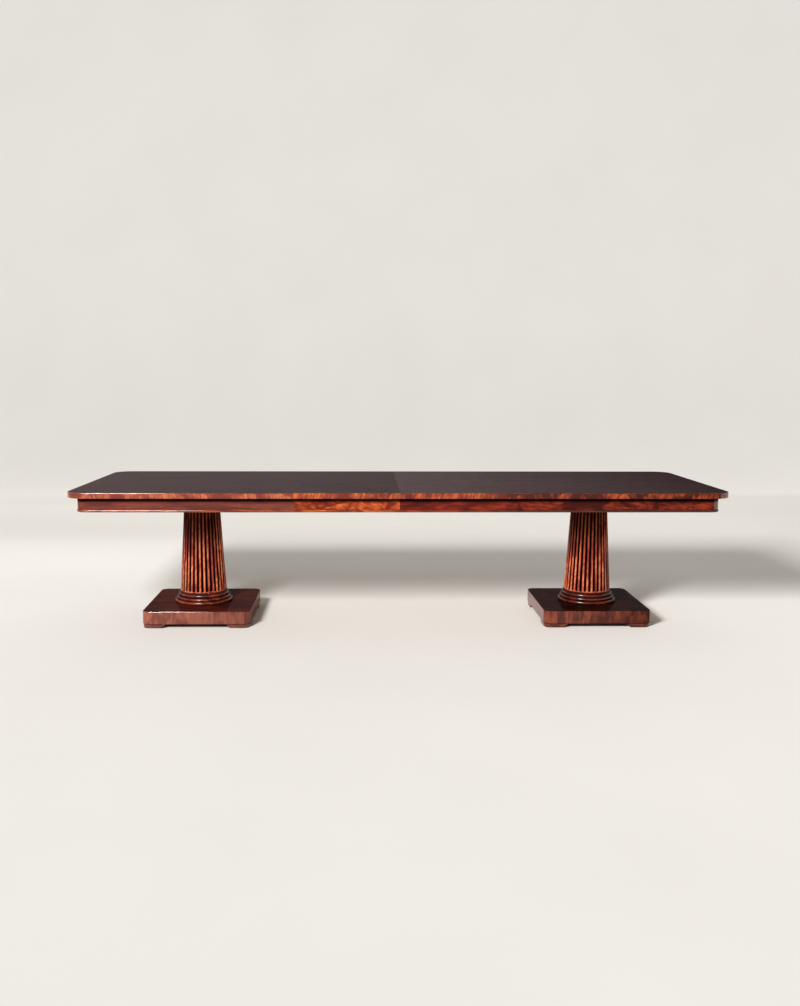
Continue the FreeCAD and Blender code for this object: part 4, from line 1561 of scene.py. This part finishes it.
@dataclass
class SlideGear:
    """Rails, racks, pinions, battens, cleats and pegs that carry the extension."""

    finishes: Finishes
    wood_ease: float = 0.8
    steel_ease: float = 0.25
    head_radius: float = 4.5
    head_height: float = 3.0
    shank_radius: float = 2.5
    shank_length: float = 42.0
    recess_length: float = 5.0
    recess_width: float = 1.1
    recess_depth: float = 1.6
    head_segments: int = 24
    head_rings: int = 16
    shank_segments: int = 16

    def build(self) -> None:
        """Dresses each piece of the slides and of the leaves' underside."""
        for side in Side:
            word = side.value
            for row in Row:
                self.copied(f"{word}_rail_{row.word}", side.body, "maple_frame", self.finishes.maple)
            self.copied(f"{word}_cross_battens", side.body, "maple_frame", self.finishes.maple_across)
            self.copied(f"{word}_slide_stops", side.body, "maple_frame", self.finishes.maple)
            self.copied(f"{word}_racks", side.body, "steel_gear", self.finishes.gear)
            self.screws(side)
        for leaf in Leaf:
            self.copied(f"{leaf.value}_cleats", leaf.value, "maple_frame", self.finishes.maple_across)
            self.copied(f"{leaf.value}_pegs", leaf.value, "maple_frame", self.finishes.maple)
        for row in Row:
            self.copied(f"centre_rail_{row.word}", "centre_slide", "maple_frame", self.finishes.maple)
            self.copied(f"pinion_{row.word}", f"pinion_{row.word}", "steel_gear", self.finishes.gear)
        self.copied("pinion_axles", "centre_slide", "steel_fixing", self.finishes.fixing)

    def screws(self, side: Side) -> None:
        """Stands pan head screws in the places of one half's solid ones.

        Args:
            side: The half.
        """
        node = f"{side.value}_screws"
        finish = self.finishes.fixing
        values = {
            "Head Radius": self.head_radius * MM, "Head Height": self.head_height * MM,
            "Shank Radius": self.shank_radius * MM, "Shank Length": self.shank_length * MM,
            "Recess Length": self.recess_length * MM, "Recess Width": self.recess_width * MM,
            "Recess Depth": self.recess_depth * MM, "Finish": finish,
        }
        draft = grown(self.screw_tree(), values, self.screw_seats(node))
        place_piece(draft, f"{side.value}_pan_head_screws", side.body, [node], [finish])

    def screw_seats(self, node: str) -> list[Vector]:
        """Finds where the heads of the solid screws sit.

        Args:
            node: CAD node of the screws.

        Returns:
            Middle of the upper side of each head, in metres.
        """
        draft = eased_copy(node, 0.0)
        draft.verts.index_update()
        seen = set()
        seats = []
        for first in draft.verts:
            if first.index in seen:
                continue
            seen.add(first.index)
            island = [first]
            for vert in island:
                for edge in vert.link_edges:
                    other = edge.other_vert(vert)
                    if other.index not in seen:
                        seen.add(other.index)
                        island.append(other)
            xs = [vert.co.x for vert in island]
            ys = [vert.co.y for vert in island]
            lowest = min(vert.co.z for vert in island)
            middle = ((min(xs) + max(xs)) / 2.0, (min(ys) + max(ys)) / 2.0, lowest + self.head_height * MM)
            seats.append(Vector(middle))
        draft.free()
        return seats

    def screw_tree(self) -> bpy.types.NodeTree:
        """Builds the tree that stands one screw on each point, with a domed head and a cross recess below.

        Returns:
            The tree.
        """
        sizes = (
            "Head Radius", "Head Height", "Shank Radius", "Shank Length", "Recess Length", "Recess Width",
            "Recess Depth")
        kinds = {"Geometry": "NodeSocketGeometry", "Finish": "NodeSocketMaterial"}
        kinds.update((size, "NodeSocketFloat") for size in sizes)
        tree, given = open_tree("pan_head_screws", kinds)
        # The head is a ball drawn out to its sizes, without its upper half and with a cross cut into its tip.
        ball = add_node(
            tree, "GeometryNodeMeshUVSphere",
            {"Segments": self.head_segments, "Rings": self.head_rings, "Radius": 1.0})
        swell = add_node(
            tree, "ShaderNodeCombineXYZ",
            {0: given["Head Radius"], 1: given["Head Radius"], 2: given["Head Height"]})
        dome = add_node(
            tree, "GeometryNodeTransform", {"Geometry": ball.outputs["Mesh"], "Scale": swell.outputs[0]})
        # Each blade of the cross is centred on the tip, so half of its depth is in the head.
        depth = add_node(
            tree, "ShaderNodeMath", {0: given["Recess Depth"], 1: 2.0}, operation="MULTIPLY")
        drop = add_node(
            tree, "ShaderNodeMath", {0: given["Head Height"], 1: -1.0}, operation="MULTIPLY")
        tip = add_node(tree, "ShaderNodeCombineXYZ", {2: drop.outputs[0]})
        tools = []
        for across in (False, True):
            pair = (given["Recess Length"], given["Recess Width"])
            long, short = pair[::-1] if across else pair
            size = add_node(tree, "ShaderNodeCombineXYZ", {0: long, 1: short, 2: depth.outputs[0]})
            blade = add_node(tree, "GeometryNodeMeshCube", {"Size": size.outputs[0]})
            sunk = add_node(
                tree, "GeometryNodeTransform",
                {"Geometry": blade.outputs["Mesh"], "Translation": tip.outputs[0]})
            tools.append(sunk.outputs[0])
        # A cube that is wider than the head stands on its middle and takes the upper half away.
        width = add_node(tree, "ShaderNodeMath", {0: given["Head Radius"], 1: 3.0}, operation="MULTIPLY")
        size = add_node(
            tree, "ShaderNodeCombineXYZ", {0: width.outputs[0], 1: width.outputs[0], 2: width.outputs[0]})
        half = add_node(tree, "ShaderNodeMath", {0: width.outputs[0], 1: 0.5}, operation="MULTIPLY")
        lift = add_node(tree, "ShaderNodeCombineXYZ", {2: half.outputs[0]})
        cube = add_node(tree, "GeometryNodeMeshCube", {"Size": size.outputs[0]})
        upper = add_node(
            tree, "GeometryNodeTransform", {"Geometry": cube.outputs["Mesh"], "Translation": lift.outputs[0]})
        head = add_node(
            tree, "GeometryNodeMeshBoolean",
            {"Mesh 1": dome.outputs[0], "Mesh 2": [upper.outputs[0], *tools]}, operation="DIFFERENCE")
        rod = add_node(
            tree, "GeometryNodeMeshCylinder",
            {"Vertices": self.shank_segments, "Radius": given["Shank Radius"],
             "Depth": given["Shank Length"]})
        middle = add_node(
            tree, "ShaderNodeMath", {0: given["Shank Length"], 1: 0.5}, operation="MULTIPLY")
        raised = add_node(tree, "ShaderNodeCombineXYZ", {2: middle.outputs[0]})
        shank = add_node(
            tree, "GeometryNodeTransform",
            {"Geometry": rod.outputs["Mesh"], "Translation": raised.outputs[0]})
        screw = add_node(
            tree, "GeometryNodeJoinGeometry", {"Geometry": [head.outputs["Mesh"], shank.outputs[0]]})
        stood = add_node(
            tree, "GeometryNodeInstanceOnPoints", {"Points": given["Geometry"], "Instance": screw.outputs[0]})
        close_tree(tree, stood.outputs[0], given["Finish"])
        return tree

    def copied(self, node: str, body: str, slot: str, finish: bpy.types.Material) -> None:
        """Dresses a copy of one CAD node, with its edges eased as those of wood or of steel are."""
        dress_copy(node, body, finish, self.steel_ease if slot.startswith("steel") else self.wood_ease)


@dataclass
class Studio:
    """Pale sweep, soft light and the camera at the photograph's angle."""

    front: float = -9000.0
    bend: float = 5500.0
    bend_radius: float = 2000.0
    wall: float = 9000.0
    half_width: float = 12000.0
    bend_steps: int = 24
    floor_steps: int = 48
    width_steps: int = 40
    paint_colour: str = "#f5f2ec"
    floor_tone: float = 0.96
    wall_tone: float = 0.79
    tone_change: tuple[float, float] = (2100.0, 2900.0)
    key_power: float = 56.0
    key_radius: float = 600.0
    key_place: tuple[float, float, float] = (-2300.0, -4250.0, 2800.0)
    fill_colour: str = "#f4f1ee"
    fill_strength: float = 0.36
    backdrop_colour: str = "#e6e1db"
    camera_place: tuple[float, float, float] = (-195.93, -5419.43, 1347.41)
    camera_yaw: float = 0.977
    camera_pitch: float = 8.029
    camera_roll: float = 0.135
    focal_pixels: float = 981.858
    principal: tuple[float, float] = (377.62, 513.09)
    image: tuple[int, int] = (800, 1006)
    sensor: float = 36.0
    sight: float = 100000.0

    def build(self) -> None:
        """Builds the sweep, the lights and the camera."""
        self.sweep()
        self.lights()
        self.camera()
        bpy.context.scene.view_settings.view_transform = "Standard"

    def sweep(self) -> None:
        """Builds the floor that bends up into the backdrop."""
        line = []
        for step in range(self.floor_steps + 1):
            line.append((self.front + (self.bend - self.front) * step / self.floor_steps, 0.0, 0.0))
        for step in range(1, self.bend_steps + 1):
            angle = math.pi / 2.0 * step / self.bend_steps
            run = self.bend + self.bend_radius * math.sin(angle)
            line.append((run, self.bend_radius * (1.0 - math.cos(angle)), angle))
        line.append((self.bend + self.bend_radius, self.wall, math.pi / 2.0))
        draft = bmesh.new()
        paint = draft.verts.layers.float.new(PAINT_DEPTH)
        rows = []
        for y, z, angle in line:
            row = []
            for step in range(self.width_steps + 1):
                x = self.half_width * (2.0 * step / self.width_steps - 1.0)
                vert = draft.verts.new(Vector((x, y, z)) * MM)
                vert[paint] = self.paint_depth(Vector((x, y, z)), angle)
                row.append(vert)
            rows.append(row)
        join_rows(draft, rows, closed=False)
        for face in draft.faces:
            face.smooth = True
        mesh = bpy.data.meshes.new("studio_sweep")
        draft.to_mesh(mesh)
        draft.free()
        # Matt pale paint, slightly warm.
        mesh.materials.append(StudioPaint("matt_studio_paint", self.paint_colour).build())
        sweep = bpy.data.objects.new("studio_sweep", mesh)
        bpy.context.scene.collection.objects.link(sweep)

    def paint_depth(self, place: Vector, tilt: float) -> float:
        """Works out how deep the paint is at one place, so that floor and backdrop look evenly lit.

        Args:
            place: The place in millimetres.
            tilt: Angle of the sweep there, 0 on the floor.

        Returns:
            Share of the paint's colour.
        """
        normal = Vector((0.0, -math.sin(tilt), math.cos(tilt)))
        towards = (Vector(self.key_place) - place).normalized()
        lit = self.key_power / (2.0 * math.pi) ** 2 * max(0.0, normal.dot(towards)) + self.fill_strength
        near, far = self.tone_change
        share = min(1.0, max(0.0, (place.y - near) / (far - near)))
        tone = self.floor_tone + (self.wall_tone - self.floor_tone) * share
        return min(1.0, tone / lit)

    def lights(self) -> None:
        """Adds the key light, as strong near as far, the even fill and a pale backdrop round the sweep."""
        lamp = bpy.data.lights.new("key_light", "POINT")
        lamp.shadow_soft_size = self.key_radius * MM
        lamp.energy = self.key_power
        lamp.use_nodes = True
        lamp.node_tree.nodes.clear()
        even = add_node(lamp.node_tree, "ShaderNodeLightFalloff", {"Strength": 1.0})
        glow = add_node(lamp.node_tree, "ShaderNodeEmission", {"Strength": even.outputs["Constant"]})
        add_node(lamp.node_tree, "ShaderNodeOutputLight", {"Surface": glow.outputs[0]})
        key = bpy.data.objects.new("key_light", lamp)
        key.location = Vector(self.key_place) * MM
        key.visible_camera = False
        bpy.context.scene.collection.objects.link(key)
        world = bpy.data.worlds.new("studio_fill")
        world.use_nodes = True
        tree = world.node_tree
        tree.nodes.clear()
        fill = add_node(
            tree, "ShaderNodeBackground",
            {"Color": linear(self.fill_colour), "Strength": self.fill_strength})
        pale = add_node(
            tree, "ShaderNodeBackground", {"Color": linear(self.backdrop_colour), "Strength": 1.0})
        ray = add_node(tree, "ShaderNodeLightPath")
        mirrored = add_node(
            tree, "ShaderNodeMath",
            {0: ray.outputs["Is Glossy Ray"], 1: ray.outputs["Is Transmission Ray"]}, operation="MAXIMUM")
        seen = add_node(
            tree, "ShaderNodeMath", {0: ray.outputs["Is Camera Ray"], 1: mirrored.outputs[0]},
            operation="MAXIMUM")
        both = add_node(
            tree, "ShaderNodeMixShader", {0: seen.outputs[0], 1: fill.outputs[0], 2: pale.outputs[0]})
        add_node(tree, "ShaderNodeOutputWorld", {"Surface": both.outputs[0]})
        bpy.context.scene.world = world

    def camera(self) -> None:
        """Places the camera as measured from the photograph."""
        yaw = math.radians(self.camera_yaw)
        pitch = math.radians(self.camera_pitch)
        roll = math.radians(self.camera_roll)
        forward = Vector((
            math.sin(yaw) * math.cos(pitch), math.cos(yaw) * math.cos(pitch), -math.sin(pitch)))
        right = Vector((math.cos(yaw), -math.sin(yaw), 0.0))
        upward = right.cross(forward)
        rolled_right = math.cos(roll) * right + math.sin(roll) * upward
        rolled_up = -math.sin(roll) * right + math.cos(roll) * upward
        lens = bpy.data.cameras.new("photograph_camera")
        longest = max(self.image)
        lens.sensor_width = self.sensor
        lens.lens = self.focal_pixels * self.sensor / longest
        lens.shift_x = (self.image[0] / 2.0 - self.principal[0]) / longest
        lens.shift_y = (self.principal[1] - self.image[1] / 2.0) / longest
        lens.clip_end = self.sight * MM
        camera = bpy.data.objects.new("photograph_camera", lens)
        turn = Matrix((rolled_right, rolled_up, -forward)).transposed().to_4x4()
        camera.matrix_world = Matrix.Translation(Vector(self.camera_place) * MM) @ turn
        bpy.context.scene.collection.objects.link(camera)
        bpy.context.scene.camera = camera


def main() -> None:
    """Builds the table's pieces, the studio and the camera."""
    logging.basicConfig(level=logging.INFO, format="%(message)s")
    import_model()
    finishes = Finishes()
    TableTop(finishes).build()
    Apron(finishes).build()
    for side in Side:
        Pedestal(finishes, side).build()
    SlideGear(finishes).build()
    Studio().build()


if __name__ == "__main__":
    main()
